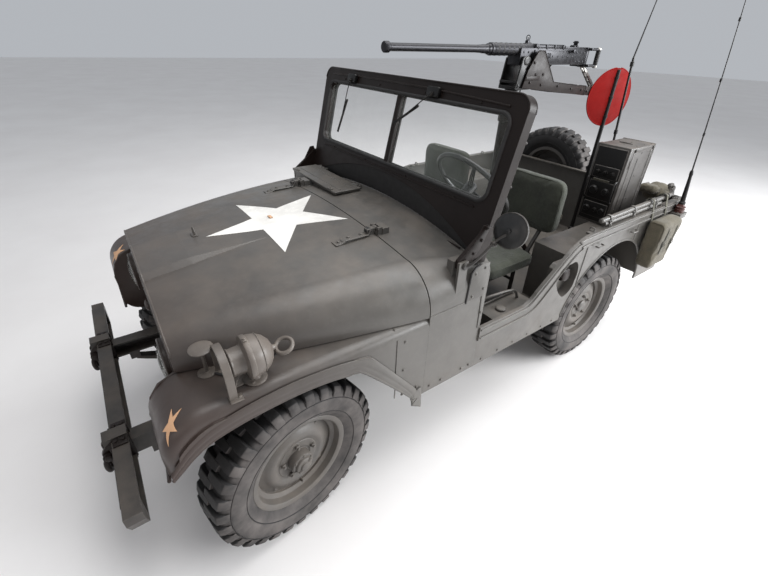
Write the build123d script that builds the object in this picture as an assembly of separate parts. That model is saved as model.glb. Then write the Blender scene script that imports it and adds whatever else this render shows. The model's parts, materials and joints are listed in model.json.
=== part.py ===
from build123d import *
import math
import os

# An open-topped army 4x4 car with a pedestal gun, as hollow panels on a ladder frame.
# Millimetres. The front is -Y, the driver's (left) side is +X and the floor is z = 0.
# While it is drawn, y = 0 lies midway between the axles. Every piece is then moved so
# that the finished car's footprint is centred on the origin.

# Wheels and axles
WHEELBASE = 2057.0
TRACK = 1280.0
TYRE_R = 372.0
TYRE_W = 188.0
RIM_SEAT_R = 204.0
RIM_FLANGE_R = 222.0
RIM_W = 128.0
HUB_TIP_FRONT = 91.0
HUB_TIP_REAR = 50.0
KINGPIN_X = 600.0
STEER_REST = 10.5
STEER_ARM = 140.0
FORK_TOP = 96.0
FORK_T = 18.0
KNUCKLE_R = 40.0
AXLE_TUBE_R = 38.0
DIFF_R = 105.0
DIFF_X = -150.0
SPRING_X = 330.0
SPRING_W = 45.0
SPRING_T = 42.0
SPRING_HALF_SPAN = 440.0
SPRING_RISE = 92.0
SPRING_TIP_T = 12.0
SPRING_PAD = 60.0
PAD_T = 8.0

# Ladder frame
RAIL_X = 325.0
RAIL_W = 60.0
RAIL_H = 78.0
CROSS_W = 70.0
ENGINE_HALF_W = 190.0

# Body shell
BODY_HALF_W = 765.0
PANEL_T = 10.0
BODY_LOW = 490.0
FLOOR_Z = 542.0
AXLE_DROP = 170.0
SEAM_Y = -440.0
DOOR_FRONT_Y = -120.0
SILL_Z = 733.0
TUB_TOP_Z = 1018.0
TUB_REAR_Y = 1765.0
REAR_ARCH_R = 440.0
REAR_ARCH_UP = 68.0
WHEELHOUSE_X = 505.0
WHEELHOUSE_AHEAD = 450.0
WHEELHOUSE_TOP = 892.0
BELT_PROUD = 8.0
RIM_IN = 32.0
SEAM_GAP = 5.0

# Hood, cowl and fenders
HOOD_AHEAD = TYRE_R - 66
HOOD_FRONT_W = BODY_HALF_W - 225
HOOD_MID_W = BODY_HALF_W - 97
SHOULDER_R = 175.0
HOOD_FRONT_R = 115.0
CROWN_REAR = 1141.0
CROWN_FRONT = 1070.0
SHOULDER_DROP = 36.0
FENDER_TOP = 913.0
FENDER_AHEAD = TYRE_R + 39
FENDER_IN_X = 400.0
FENDER_EDGE_R = 42.0
NOSE_R = 135.0
NOSE_TIP_Z = 714.0
NOSE_LOW_Z = 565.0
CHEEK_R = 80.0
CHEEK_CUT = 75.0
LIP_W = 62.0
GRILLE_T = 12.0
SLOT_PITCH = 72.0
SLOT_W = 44.0
LAMP_X = HOOD_FRONT_W - 155
LAMP_Z = 850.0
LAMP_R = 92.0
LAMP_DEPTH = 60.0
RAISED_HALF_W = 140.0
RAISED_FLARE = 60.0
RAISED_H = 24.0
COWL_STEP_Z = 1066.0
COWL_CORNER_R = 70.0
HOOD_LIP_Z = 985.0
HINGE_XS = (-420.0, 356.0)
LID_X0 = 125.0 - BODY_HALF_W
LID_X1 = -110.0
LID_FRONT_Y = -372.0
LID_REAR_Y = -214.0

# Steering wheel
COLUMN_X = 370.0
COLUMN_R = 22.0
COLUMN_LEAN = 50.0
WHEEL_Y = 130.0
STEERING_Z = 1250.0
STEERING_R = 205.0
STEERING_HUB = 55.0

# Windshield
SHIELD_HALF_W = BODY_HALF_W - 20
SHIELD_T = 46.0
SHIELD_LEAN = 13.8
SHIELD_FOOT_Y = -163.0
SHIELD_FOOT_Z = 1203.0
SHIELD_TOP_Z = 1701.0
SHIELD_PIVOT_Y = -290.0
SHIELD_PIVOT_Z = 1105.0
GLASS_LOW_Z = 1311.0
GLASS_TOP_Z = 1630.0
GLASS_SIDE = 62.0
GLASS_T = 6.0

# Bumpers and rear
BUMPER_AHEAD = TYRE_R + 199
BUMPER_DEPTH = 55.0
BUMPER_LOW = 444.0
BUMPER_H = 116.0
BUMPER_HALF = 700.0
SPARE_X = -330.0
SPARE_Z = TYRE_R + 523
SPARE_GAP = 14.0
TOW_EYE_R = 14.0
TOW_EYE_L = 56.0

# Seats
SEAT_Z = 850.0
SEAT_FRONT_Y = 140.0
SEAT_BACK_Y = 620.0

# Outside gear
MIRROR_X = BODY_HALF_W + 70
MIRROR_R = 70.0
MIRROR_TURN = 10.0
MIRROR_TILT = 14.0
TOOLS_OUT = 118.0
ROLL_R = 90.0
ANTENNA_X = BODY_HALF_W + 36
ANTENNA_Y = TUB_REAR_Y - 125
ANTENNA_FOOT_Z = TUB_TOP_Z - 63
ANTENNA_LEAN = 0.105
MAST_X = 297.0
MAST_LEAN = 0.085
SIGNAL_X = 136.0
SIGNAL_R = 178.0
RECESS_D = 50.0

# Gun and pedestal
PEDESTAL_Y = 775.0
PEDESTAL_R = 50.0
PEDESTAL_TOP = 1600.0
TRUNNION_Z = PEDESTAL_TOP + 168
GUN_AXIS_Z = TRUNNION_Z + 52
GUN_MUZZLE_Y = -160.0
GUN_REAR_Y = 1500.0
BARREL_R = 17.0
JACKET_R = 30.0
RECEIVER_HALF_W = 42.0
TRAY_X = 68.0
TRAY_T = 6.0

CLEAR = 0.3

HUB_Z = FLOOR_Z - AXLE_DROP
LIFT = TYRE_R - HUB_Z
RAIL_LOW = FLOOR_Z - PANEL_T - CLEAR - RAIL_H
AXLE_F = -WHEELBASE / 2
AXLE_R = WHEELBASE / 2
WHEEL_X = TRACK / 2
ENGINE_LOW = RAIL_LOW + RAIL_H + 12
HOOD_FRONT_Y = AXLE_F - HOOD_AHEAD
FENDER_FRONT_Y = AXLE_F - FENDER_AHEAD
RADIATOR_Y = HOOD_FRONT_Y + 100
HINGE_Y = SEAM_Y + 6
HINGE_Z = CROWN_REAR + 10
HOOD_LOW = FENDER_TOP + SEAM_GAP
HOOD_REAR_Y = SEAM_Y - SEAM_GAP
LID_Z = CROWN_REAR + 8
GRILLE_HALF_W = HOOD_FRONT_W - PANEL_T - SEAM_GAP - 1
NOSE_X = GRILLE_HALF_W + CLEAR
BUMPER_Y = AXLE_F - BUMPER_AHEAD
SHACKLE_Y = BUMPER_Y - 25.0
SPARE_BACK_Y = TUB_REAR_Y + SPARE_GAP + TYRE_W
MID_Y = (SHACKLE_Y + SPARE_BACK_Y) / 2


def block(x0, x1, y0, y1, z0, z1):
    """A box between two corners."""
    size = Box(x1 - x0, y1 - y0, z1 - z0)
    return Pos((x0 + x1) / 2, (y0 + y1) / 2, (z0 + z1) / 2) * size


def rod(start, end, radius):
    """A round bar between two points."""
    a, b = Vector(*start), Vector(*end)
    return Part() + Solid.make_cylinder(radius, (b - a).length, Plane(origin=a, z_dir=b - a))


def bent_tube(points, bend_r, radius):
    """A round bar along straight runs joined by tangent bends of one radius."""
    path = FilletPolyline(*points, radius=bend_r)
    start = Plane(origin=path @ 0, z_dir=path % 0)
    return sweep(start * Circle(radius), path=path)


def outline(start, *steps):
    """A closed face: a step is a point to draw a line to, or a (through, to) pair for an arc."""
    edges = []
    at = start
    for step in steps:
        if isinstance(step[0], tuple):
            edges.append(ThreePointArc(at, step[0], step[1]))
            at = step[1]
        else:
            edges.append(Line(at, step))
            at = step
    if at != start:
        edges.append(Line(at, start))
    return make_face(edges)


def side_prism(face, x0, x1):
    """A face drawn as (y, z), extruded from x0 to x1."""
    plane = Plane(origin=(x0, 0, 0), x_dir=(0, 1, 0), z_dir=(1, 0, 0))
    return extrude(plane * face, x1 - x0)


def front_plane(y):
    """A plane across the car, drawn on as (x, z)."""
    return Plane(origin=(0, y, 0), x_dir=(1, 0, 0), z_dir=(0, -1, 0))


def front_prism(face, y0, y1):
    """A face drawn as (x, z), extruded from y0 back to y1."""
    return extrude(front_plane(y1) * face, y1 - y0)


def mirrored(shape):
    """The same piece on the other side of the car."""
    return mirror(shape, about=Plane.YZ)


def wheel_turn(points, x, y, outward):
    """Points (offset outward from the wheel's mid plane, radius) turned about the axle."""
    face = Polygon(*points, align=None)
    turned = revolve(Plane.XY * face, Axis.X, 360)
    turn = Rot(0, 0, 0 if outward > 0 else 180)
    return Pos(x, y, HUB_Z) * turn * turned


# Tyres and wheels

def tyre(x, y, outward):
    """A solid tyre out to the tips of its lugs, seated on the rim."""
    half, seat = TYRE_W / 2, RIM_SEAT_R + CLEAR
    bead = RIM_W / 2 - 8
    flank = (TYRE_R + seat) / 2
    points = [(-bead, seat), (bead, seat), (bead, RIM_FLANGE_R + 6), (half - 4, flank - 25),
              (half, flank + 25), (half - 8, TYRE_R - 32), (half - 18, TYRE_R - 8),
              (half - 45, TYRE_R), (-half + 45, TYRE_R), (-half + 18, TYRE_R - 8),
              (-half + 8, TYRE_R - 32), (-half, flank + 25), (-half + 4, flank - 25),
              (-bead, RIM_FLANGE_R + 6)]
    return wheel_turn(points, x, y, outward)


def wheel(x, y, outward, hub_tip):
    """A pressed disc wheel: rim, dished disc, brake drum, hub and five nuts."""
    edge = RIM_W / 2
    rim = [(-edge, RIM_FLANGE_R), (-edge + 7, RIM_FLANGE_R), (-edge + 8, RIM_SEAT_R),
           (-22, RIM_SEAT_R - 4), (-14, RIM_SEAT_R - 20), (16, RIM_SEAT_R - 20),
           (24, RIM_SEAT_R - 4), (edge - 8, RIM_SEAT_R), (edge - 7, RIM_FLANGE_R),
           (edge, RIM_FLANGE_R), (edge, RIM_SEAT_R - 6), (28, RIM_SEAT_R - 11),
           (20, RIM_SEAT_R - 27), (-18, RIM_SEAT_R - 27), (-26, RIM_SEAT_R - 11),
           (-edge, RIM_SEAT_R - 6)]
    disc = [(8, RIM_SEAT_R - 26), (16, RIM_SEAT_R - 26), (20, 150), (38, 128), (42, 112),
            (34, 92), (34, 60), (hub_tip - 14, 50), (hub_tip - 8, 34), (hub_tip, 30),
            (hub_tip, 0), (24, 0), (24, 92), (32, 110), (28, 124), (12, 146)]
    drum = [(12, 0), (24, 0), (24, 88), (26, 124), (12, 124)]
    shape = wheel_turn(rim, x, y, outward) + wheel_turn(disc, x, y, outward)
    shape += wheel_turn(drum, x, y, outward)
    for i in range(5):
        angle = math.radians(90 + 72 * i)
        ny, nz = y + 75 * math.cos(angle), HUB_Z + 75 * math.sin(angle)
        shape += rod((x + outward * 30, ny, nz), (x + outward * 52, ny, nz), 11)
    return shape


def steered(shape, x):
    """A front wheel or knuckle turned to the left about its kingpin, as the car stands."""
    return Pos(x, AXLE_F, 0) * Rot(0, 0, STEER_REST) * Pos(-x, -AXLE_F, 0) * shape


# Axles, knuckles and steering

def axle_housing(y, half_length):
    """The axle tube with its differential bulge towards the car's right side."""
    shape = rod((-half_length, y, HUB_Z), (half_length, y, HUB_Z), AXLE_TUBE_R)
    shape += Pos(DIFF_X, y, HUB_Z) * Sphere(DIFF_R)
    for side in (-1, 1):
        shape += block(side * SPRING_X - SPRING_W / 2, side * SPRING_X + SPRING_W / 2,
                       y - SPRING_PAD, y + SPRING_PAD, HUB_Z - AXLE_TUBE_R - PAD_T, HUB_Z)
    return shape


def front_axle():
    """The front axle ends in a fork round each kingpin."""
    inner = KINGPIN_X - KNUCKLE_R - 30
    shape = axle_housing(AXLE_F, inner)
    shape += rod((DIFF_X, AXLE_F, HUB_Z + 22), (DIFF_X, AXLE_F + DIFF_R + 45, HUB_Z + 22), 34)
    for side in (-1, 1):
        x = side * KINGPIN_X
        for up in (-1, 1):
            z0 = HUB_Z + up * (FORK_TOP - FORK_T / 2)
            low, high = z0 - FORK_T / 2, z0 + FORK_T / 2
            arm = block(min(side * inner, x), max(side * inner, x), AXLE_F - 28, AXLE_F + 28, low, high)
            eye = rod((x, AXLE_F, low), (x, AXLE_F, high), 28)
            shape += arm + eye
            shape -= rod((x, AXLE_F, low - 1), (x, AXLE_F, high + 1), 12 + CLEAR)
        post0, post1 = sorted((side * (inner - 16), side * inner))
        shape += block(post0, post1, AXLE_F - 32, AXLE_F + 32, HUB_Z - FORK_TOP, HUB_Z + FORK_TOP)
    return shape


def rear_axle():
    """The rear axle ends in a flange and a stub inside each wheel's hub."""
    shape = axle_housing(AXLE_R, WHEEL_X - 20)
    shape += rod((DIFF_X, AXLE_R, HUB_Z + 22), (DIFF_X, AXLE_R - DIFF_R - 45, HUB_Z + 22), 34)
    for side in (-1, 1):
        shape += rod((side * (WHEEL_X - 45), AXLE_R, HUB_Z), (side * (WHEEL_X - 20), AXLE_R, HUB_Z), 110)
        shape += rod((side * (WHEEL_X - 20), AXLE_R, HUB_Z), (side * (WHEEL_X + 12 - CLEAR), AXLE_R, HUB_Z), 20)
    return shape


def knuckle(side):
    """A knuckle on its kingpin, with the stub for the wheel and the steering arm."""
    x = side * KINGPIN_X
    top = FORK_TOP - FORK_T - CLEAR
    shape = rod((x, AXLE_F, HUB_Z - top), (x, AXLE_F, HUB_Z + top), KNUCKLE_R - 8)
    shape += rod((x, AXLE_F, HUB_Z - FORK_TOP), (x, AXLE_F, HUB_Z + FORK_TOP), 12)
    end = side * (WHEEL_X + 12 - CLEAR)
    shape += rod((x, AXLE_F, HUB_Z), (end, AXLE_F, HUB_Z), 26)
    shape += block(x - 13, x + 13, AXLE_F - STEER_ARM, AXLE_F, HUB_Z - 12, HUB_Z + 4)
    shape += rod((x, AXLE_F - STEER_ARM, HUB_Z - 12), (x, AXLE_F - STEER_ARM, HUB_Z + 4), 20)
    shape += rod((x, AXLE_F - STEER_ARM, HUB_Z + 4), (x, AXLE_F - STEER_ARM, HUB_Z + 42), 8)
    return steered(shape, x)


def tie_rod():
    """The track rod from one steering arm's ball pin to the other, across the car's front."""
    lean = math.radians(STEER_REST)
    dx, dy = STEER_ARM * math.sin(lean), -STEER_ARM * math.cos(lean)
    z = HUB_Z + 24
    left = (KINGPIN_X + dx, AXLE_F + dy, z)
    right = (-KINGPIN_X + dx, AXLE_F + dy, z)
    shape = rod(left, right, 13)
    for x, y, _ in (left, right):
        shape += rod((x, y, z - 15), (x, y, z + 15), 20)
    for x, y, _ in (left, right):
        shape -= rod((x, y, z - 20), (x, y, z + 25), 8 + CLEAR)
    return shape


def leaf_springs():
    """Four springs under the axles, each a bowed pack that ends at the frame's hangers."""
    shape = Part()
    pad_rise = SPRING_RISE * (SPRING_PAD / SPRING_HALF_SPAN) ** 2
    mid = HUB_Z - AXLE_TUBE_R - PAD_T - CLEAR - pad_rise
    tip = mid + SPRING_RISE
    for y in (AXLE_F, AXLE_R):
        face = outline((y - SPRING_HALF_SPAN, tip), ((y, mid), (y + SPRING_HALF_SPAN, tip)),
                       (y + SPRING_HALF_SPAN, tip - SPRING_TIP_T),
                       ((y, mid - SPRING_T), (y - SPRING_HALF_SPAN, tip - SPRING_TIP_T)))
        for side in (-1, 1):
            x = side * SPRING_X
            shape += side_prism(face, x - SPRING_W / 2, x + SPRING_W / 2)
    return shape


# Ladder frame and drive line

def chassis_frame():
    """Two rails with cross members, hangers for the springs and outriggers for the body."""
    front, rear = BUMPER_Y + BUMPER_DEPTH + CLEAR, TUB_REAR_Y - 20
    high = RAIL_LOW + RAIL_H
    shape = Part()
    for side in (-1, 1):
        x = side * RAIL_X
        rail = block(x - RAIL_W / 2, x + RAIL_W / 2, front, rear, RAIL_LOW, high)
        inner0, inner1 = sorted((x - side * RAIL_W / 2, x + side * (RAIL_W / 2 - 8)))
        rail -= block(inner0, inner1, front - 1, rear + 1, RAIL_LOW + 8, high - 8)
        shape += rail
        hanger_low = HUB_Z - AXLE_TUBE_R - PAD_T + SPRING_RISE
        for y in (AXLE_F, AXLE_R):
            for end in (-1, 1):
                at = y + end * SPRING_HALF_SPAN
                shape += block(x - RAIL_W / 2, x + RAIL_W / 2, at - 22, at + 22, hanger_low, RAIL_LOW)
        for y in (SEAM_Y + 60, AXLE_R - WHEELHOUSE_AHEAD - 60, TUB_REAR_Y - 130):
            out0, out1 = sorted((side * (RAIL_X + RAIL_W / 2), side * (BODY_HALF_W - 40)))
            shape += block(out0, out1, y - 25, y + 25, RAIL_LOW + 20, FLOOR_Z - PANEL_T - CLEAR)
    for y, top in ((RADIATOR_Y, high), (AXLE_F - 120, ENGINE_LOW - CLEAR), (200, high - 8),
                   (AXLE_R - 260, high - 8), (rear - CROSS_W / 2, high - 8)):
        shape += block(-RAIL_X, RAIL_X, y - CROSS_W / 2, y + CROSS_W / 2, RAIL_LOW + 8, top)
    return shape


def power_unit():
    """The engine and its gearbox as one plain mass."""
    wall = SEAM_Y - SEAM_GAP - 30
    shape = block(-ENGINE_HALF_W, ENGINE_HALF_W, RADIATOR_Y + 56, AXLE_F + 400, ENGINE_LOW, 1000)
    shape += block(-120, 150, AXLE_F + 400, wall, 455, 760)
    shape += block(-108, 120, wall, 160, 400, RAIL_LOW + RAIL_H - 8)
    shape += block(DIFF_X - 40, -100, -140, 60, HUB_Z + 7, HUB_Z + 87)
    return shape


def prop_shafts():
    """The two shafts from the transfer box to the axles."""
    z = HUB_Z + 22
    shape = rod((DIFF_X, AXLE_F + DIFF_R + 45 + CLEAR, z), (DIFF_X, -140 - CLEAR, z + 8), 24)
    shape += rod((DIFF_X, AXLE_R - DIFF_R - 45 - CLEAR, z), (DIFF_X, 60 + CLEAR, z + 8), 24)
    return shape


def exhaust():
    """A silencer under the right floor and its tail pipe."""
    x, z = -470, 400
    shape = rod((x, 120, z), (x, 540, z), 62)
    side = -ENGINE_HALF_W - CLEAR
    shape += bent_tube([(side, -700, 640), (side - 53, -700, 640), (side - 53, -640, z), (side - 53, -300, z),
                        (x, -100, z), (x, 140, z)], 38, 22)
    shape += bent_tube([(x, 520, z), (x, 600, z), (-640, 600, z)], 45, 22)
    return shape


# Body

def belt_face(inset):
    """The (y, z) face above the body's crease line: the raised band along its upper edge."""
    top = TUB_TOP_Z
    return outline((DOOR_FRONT_Y + inset, SILL_Z), (190, SILL_Z), ((236, 748), (280, 786)), (480, 950),
                   ((560, 996), (660, top)), (TUB_REAR_Y - inset, top), (TUB_REAR_Y - inset, top - 62),
                   (720, top - 62), ((600, top - 85), (500, top - 150)), (350, 715),
                   ((270, 665), (160, 657)), (DOOR_FRONT_Y + inset, 657))


def side_panel():
    """One side of the tub behind the cowl, drawn as (y, z)."""
    centre_z = HUB_Z + REAR_ARCH_UP
    run = math.sqrt(REAR_ARCH_R ** 2 - (centre_z - BODY_LOW) ** 2)
    return outline((DOOR_FRONT_Y, BODY_LOW), (AXLE_R - run, BODY_LOW),
                   ((AXLE_R, centre_z + REAR_ARCH_R), (AXLE_R + run, BODY_LOW)),
                   (TUB_REAR_Y, BODY_LOW), (TUB_REAR_Y, TUB_TOP_Z), (660, TUB_TOP_Z),
                   ((560, 996), (480, 950)), (280, 786), ((236, 748), (190, SILL_Z)),
                   (DOOR_FRONT_Y, SILL_Z))


def filler_recess():
    """The (y, z) outline of the pocket round the fuel filler in the left side."""
    return outline((446, 855), (446, 800), ((492, 716), (553, 662)), ((604, 676), (636, 742)),
                   ((640, 800), (612, 858)), ((590, 872), (560, 872)), (465, 872))


def house_ends():
    """Where the wheelhouses start and end, front and rear."""
    return AXLE_R - WHEELHOUSE_AHEAD, AXLE_R + WHEELHOUSE_AHEAD


def body_tub():
    """Floor with the wheelhouse cut-outs, and the rear panel with its rolled top edge."""
    out, t = BODY_HALF_W, PANEL_T
    shape = block(-out + t, out - t, DOOR_FRONT_Y, TUB_REAR_Y, FLOOR_Z - t, FLOOR_Z)
    house_y0, house_y1 = house_ends()
    for side in (-1, 1):
        gap0, gap1 = sorted((side * (WHEELHOUSE_X + t), side * (out - t)))
        shape -= block(gap0, gap1, house_y0 + t, house_y1 - t, FLOOR_Z - 3 * t, FLOOR_Z + 1)
    shape += block(-out + t, out - t, TUB_REAR_Y - t, TUB_REAR_Y, FLOOR_Z - t, TUB_TOP_Z)
    shape += block(-out + RIM_IN, out - RIM_IN, TUB_REAR_Y - RIM_IN, TUB_REAR_Y, TUB_TOP_Z - t, TUB_TOP_Z)
    return shape


def body_side(side):
    """One side of the tub: panel, belt band, wheelhouse and rolled top edge."""
    out, t = BODY_HALF_W, PANEL_T
    shape = side_prism(side_panel(), out - t, out)
    shape += side_prism(belt_face(0), out, out + BELT_PROUD)
    house_y0, house_y1 = house_ends()
    shape += block(WHEELHOUSE_X, out - t, house_y0, house_y1, FLOOR_Z, WHEELHOUSE_TOP)
    shape -= block(WHEELHOUSE_X + t, out - t, house_y0 + t, house_y1 - t, FLOOR_Z - 1, WHEELHOUSE_TOP - t)
    shape += block(out - RIM_IN, out, 660, TUB_REAR_Y - t, TUB_TOP_Z - t, TUB_TOP_Z)
    if side < 0:
        return mirrored(shape)
    shape += side_prism(offset(filler_recess(), 8), out - RECESS_D - 8, out - t + 1)
    return shape - side_prism(filler_recess(), out - RECESS_D, out + BELT_PROUD + 1)


def crowned(half_w, low, shoulder_r, crown, drop, inset):
    """The (x, z) section of hood or cowl: upright sides, round shoulders and a crowned top."""
    w, r = half_w - inset, shoulder_r - inset
    top = crown - drop - inset
    centre_x, centre_z = w - r, top - r
    bend = r * math.sqrt(0.5)
    return outline((-w, low), (w, low), (w, centre_z),
                   ((centre_x + bend, centre_z + bend), (centre_x, top)),
                   ((0, crown - inset), (-centre_x, top)),
                   ((-centre_x - bend, centre_z + bend), (-w, centre_z)))


def crown_at(x):
    """The height of the crowned top at the hood seam, x from the middle."""
    return CROWN_REAR - SHOULDER_DROP * (x / (BODY_HALF_W - SHOULDER_R)) ** 2


def cowl_loft(inset, low, y0, y1):
    """The cowl's envelope between the hood seam and the door."""
    front = crowned(BODY_HALF_W, low, SHOULDER_R, CROWN_REAR, SHOULDER_DROP, inset)
    rear_drop = CROWN_REAR - COWL_STEP_Z - 20
    rear = crowned(BODY_HALF_W, low, COWL_CORNER_R, CROWN_REAR + 6, rear_drop, inset)
    return loft([front_plane(y0) * front, front_plane(y1) * rear], ruled=True)


def cowl():
    """Cowl top and sides with firewall and instrument panel."""
    t = PANEL_T
    shell = cowl_loft(0, BODY_LOW, SEAM_Y, DOOR_FRONT_Y)
    shell -= cowl_loft(t, BODY_LOW - 10, SEAM_Y + t, DOOR_FRONT_Y + 1)
    shape = Part() + shell
    shape -= block(-BODY_HALF_W + t, BODY_HALF_W - t, SEAM_Y - 1, SEAM_Y + t + 1, BODY_LOW - 1, FLOOR_Z - t)
    shape += block(-BODY_HALF_W + t, BODY_HALF_W - t, SEAM_Y, DOOR_FRONT_Y, FLOOR_Z - t, FLOOR_Z)
    dash = cowl_loft(0, 900, SEAM_Y, DOOR_FRONT_Y)
    dash &= block(-BODY_HALF_W, BODY_HALF_W, DOOR_FRONT_Y - 12, DOOR_FRONT_Y, 880, CROWN_REAR + 30)
    lean = math.radians(COLUMN_LEAN)
    top = (COLUMN_X, WHEEL_Y, STEERING_Z)
    low = (COLUMN_X, WHEEL_Y - 500 * math.sin(lean), STEERING_Z - 500 * math.cos(lean))
    shape += dash - rod(low, top, COLUMN_R + CLEAR)
    for side in (-1, 1):
        x0, x1 = sorted((side * (SHIELD_HALF_W - 45), side * (SHIELD_HALF_W - 12)))
        shape += block(x0, x1, SHIELD_PIVOT_Y - 28, SHIELD_PIVOT_Y + 28, 960, SHIELD_PIVOT_Z + 16)
        x0, x1 = sorted((side * (SHIELD_HALF_W + 7), side * (BODY_HALF_W - 1)))
        shape += block(x0, x1, SHIELD_PIVOT_Y - 24, SHIELD_PIVOT_Y + 24, 940, SHIELD_PIVOT_Z + 18)
        pin0, pin1 = side * (SHIELD_HALF_W - 30), side * (SHIELD_HALF_W + 8)
        shape += rod((pin0, SHIELD_PIVOT_Y, SHIELD_PIVOT_Z), (pin1, SHIELD_PIVOT_Y, SHIELD_PIVOT_Z), 9)
    for x in HINGE_XS:
        skin = crown_at(x) - 6
        shape += block(x - 35, x + 35, HINGE_Y + 18, HINGE_Y + 52, skin, HINGE_Z + 4)
        for ear in (-30, 18):
            shape += block(x + ear, x + ear + 12, HINGE_Y - 4, HINGE_Y + 20, skin, HINGE_Z + 9)
        shape += rod((x - 34, HINGE_Y, HINGE_Z), (x + 34, HINGE_Y, HINGE_Z), 5)
    return shape


# Hood on two hinges at the cowl

def hood_front(inset, low):
    """The hood's section at its front edge."""
    return crowned(HOOD_FRONT_W, low, HOOD_FRONT_R, CROWN_FRONT, SHOULDER_DROP - 8, inset)


def hood_loft(inset, low, y0, y1):
    """The hood's envelope: narrow and low in front, as wide and high as the cowl behind."""
    mid_y = (HOOD_FRONT_Y + SEAM_Y) / 2
    front = hood_front(inset, low)
    mid = crowned(HOOD_MID_W, low, (HOOD_FRONT_R + SHOULDER_R) / 2, CROWN_REAR - 22, SHOULDER_DROP - 4, inset)
    rear = crowned(BODY_HALF_W, low, SHOULDER_R, CROWN_REAR, SHOULDER_DROP, inset)
    return loft([front_plane(y0) * front, front_plane(mid_y) * mid, front_plane(y1) * rear])


def hood():
    """A hollow hood with a raised middle that fades towards the rear, and its hinge leaves."""
    outer = hood_loft(0, HOOD_LOW, HOOD_FRONT_Y, HOOD_REAR_Y)
    sections = []
    for back, z in ((0, CROWN_FRONT + RAISED_H - 6), (180, CROWN_FRONT + RAISED_H + 16), (700, CROWN_REAR - 14)):
        top, low = RAISED_HALF_W, RAISED_HALF_W + RAISED_FLARE
        face = outline((-low, z - 60), (low, z - 60), (top, z), (-top, z))
        sections.append(front_plane(HOOD_FRONT_Y + back) * face)
    outer = Part() + outer + loft(sections, ruled=True)
    shape = outer - hood_loft(PANEL_T, HOOD_LOW - 10, HOOD_FRONT_Y + PANEL_T, HOOD_REAR_Y + 1)
    mouth = front_prism(hood_front(PANEL_T, HOOD_LOW - 10), HOOD_FRONT_Y - 1, HOOD_FRONT_Y + PANEL_T + 1)
    shape -= mouth & block(-HOOD_FRONT_W, HOOD_FRONT_W, HOOD_FRONT_Y - 2, HOOD_FRONT_Y + 20, HOOD_LOW - 10, HOOD_LIP_Z)
    for x in HINGE_XS:
        skin = crown_at(x)
        shape += block(x - 12, x + 12, HINGE_Y - 170, HINGE_Y - 24, skin - 24, skin + 4)
        shape += block(x - 12, x + 12, HINGE_Y - 40, HINGE_Y - 13, skin - 8, HINGE_Z + 5)
        shape += block(x - 12, x + 12, HINGE_Y - 20, HINGE_Y, HINGE_Z - 5, HINGE_Z + 5)
        shape += rod((x - 12, HINGE_Y, HINGE_Z), (x + 12, HINGE_Y, HINGE_Z), 10)
        shape -= rod((x - 20, HINGE_Y, HINGE_Z), (x + 20, HINGE_Y, HINGE_Z), 5 + CLEAR)
    return shape


def battery_lid():
    """The lid over the battery in the cowl, hinged along its rear edge."""
    shape = block(LID_X0, LID_X1, LID_FRONT_Y, LID_REAR_Y, LID_Z, LID_Z + 14)
    for x in (LID_X0 + 70, LID_X1 - 70):
        shape += rod((x - 25, LID_REAR_Y + 12, LID_Z + 7), (x + 25, LID_REAR_Y + 12, LID_Z + 7), 8)
        shape += block(x - 25, x + 25, LID_REAR_Y, LID_REAR_Y + 12, LID_Z + 2, LID_Z + 12)
        shape -= rod((x - 30, LID_REAR_Y + 12, LID_Z + 7), (x + 30, LID_REAR_Y + 12, LID_Z + 7), 4 + CLEAR)
    return shape


def lid_frame():
    """The low kerb that the lid closes on, with its hinge pins."""
    shape = Part()
    for x in (LID_X0 + 70, LID_X1 - 70):
        shape += rod((x - 45, LID_REAR_Y + 12, LID_Z + 7), (x + 45, LID_REAR_Y + 12, LID_Z + 7), 4)
        for ear in (-45, 33):
            shape += block(x + ear, x + ear + 12, LID_REAR_Y + 6, LID_REAR_Y + 24, LID_Z - 60, LID_Z + 14)
    shape += block(LID_X0 + 14, LID_X1 - 14, LID_FRONT_Y + 14, LID_REAR_Y - 14, LID_Z - 60, LID_Z - CLEAR)
    shape -= block(LID_X0 + 28, LID_X1 - 28, LID_FRONT_Y + 28, LID_REAR_Y - 28, LID_Z - 80, LID_Z + 1)
    return shape


def fender_side(inset, low):
    """The fender's (y, z) outline without its arch: a round nose, a flat top and an upright rear."""
    front, top, r = FENDER_FRONT_Y + inset, FENDER_TOP - inset, NOSE_R - inset
    rear = SEAM_Y - CLEAR - inset
    bend = r * (1 - math.sqrt(0.5))
    return outline((front, low), (front, top - r), ((front + bend, top - bend), (front + r, top)),
                   (rear, top), (rear, low))


def arch_steps():
    """The arch's lower edge from the body's corner forward to the fender's tip."""
    f = AXLE_F
    return [(f + 515, 517), (f + 271, 799), ((f + 8, 842), (f - 256, 812)),
            ((f - 334, 770), (FENDER_FRONT_Y + 6, NOSE_TIP_Z))]


def fender_arch():
    """What is cut away below the arch's edge."""
    low, front = BODY_LOW - 30, FENDER_FRONT_Y - 20
    return outline((AXLE_F + 535, low), (AXLE_F + 535, BODY_LOW), *arch_steps(), (front, NOSE_TIP_Z), (front, low))


def fender_band():
    """The proud lip round the wheel arch, drawn as (y, z)."""
    f, w = AXLE_F, LIP_W
    return outline((FENDER_FRONT_Y + 6, NOSE_TIP_Z), ((f - 346, 822), (f - 240, 812 + w)),
                   ((f + 20, 842 + w), (f + 300, 796 + w)), (f + 558, 529), (f + 535, BODY_LOW), *arch_steps())


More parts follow.
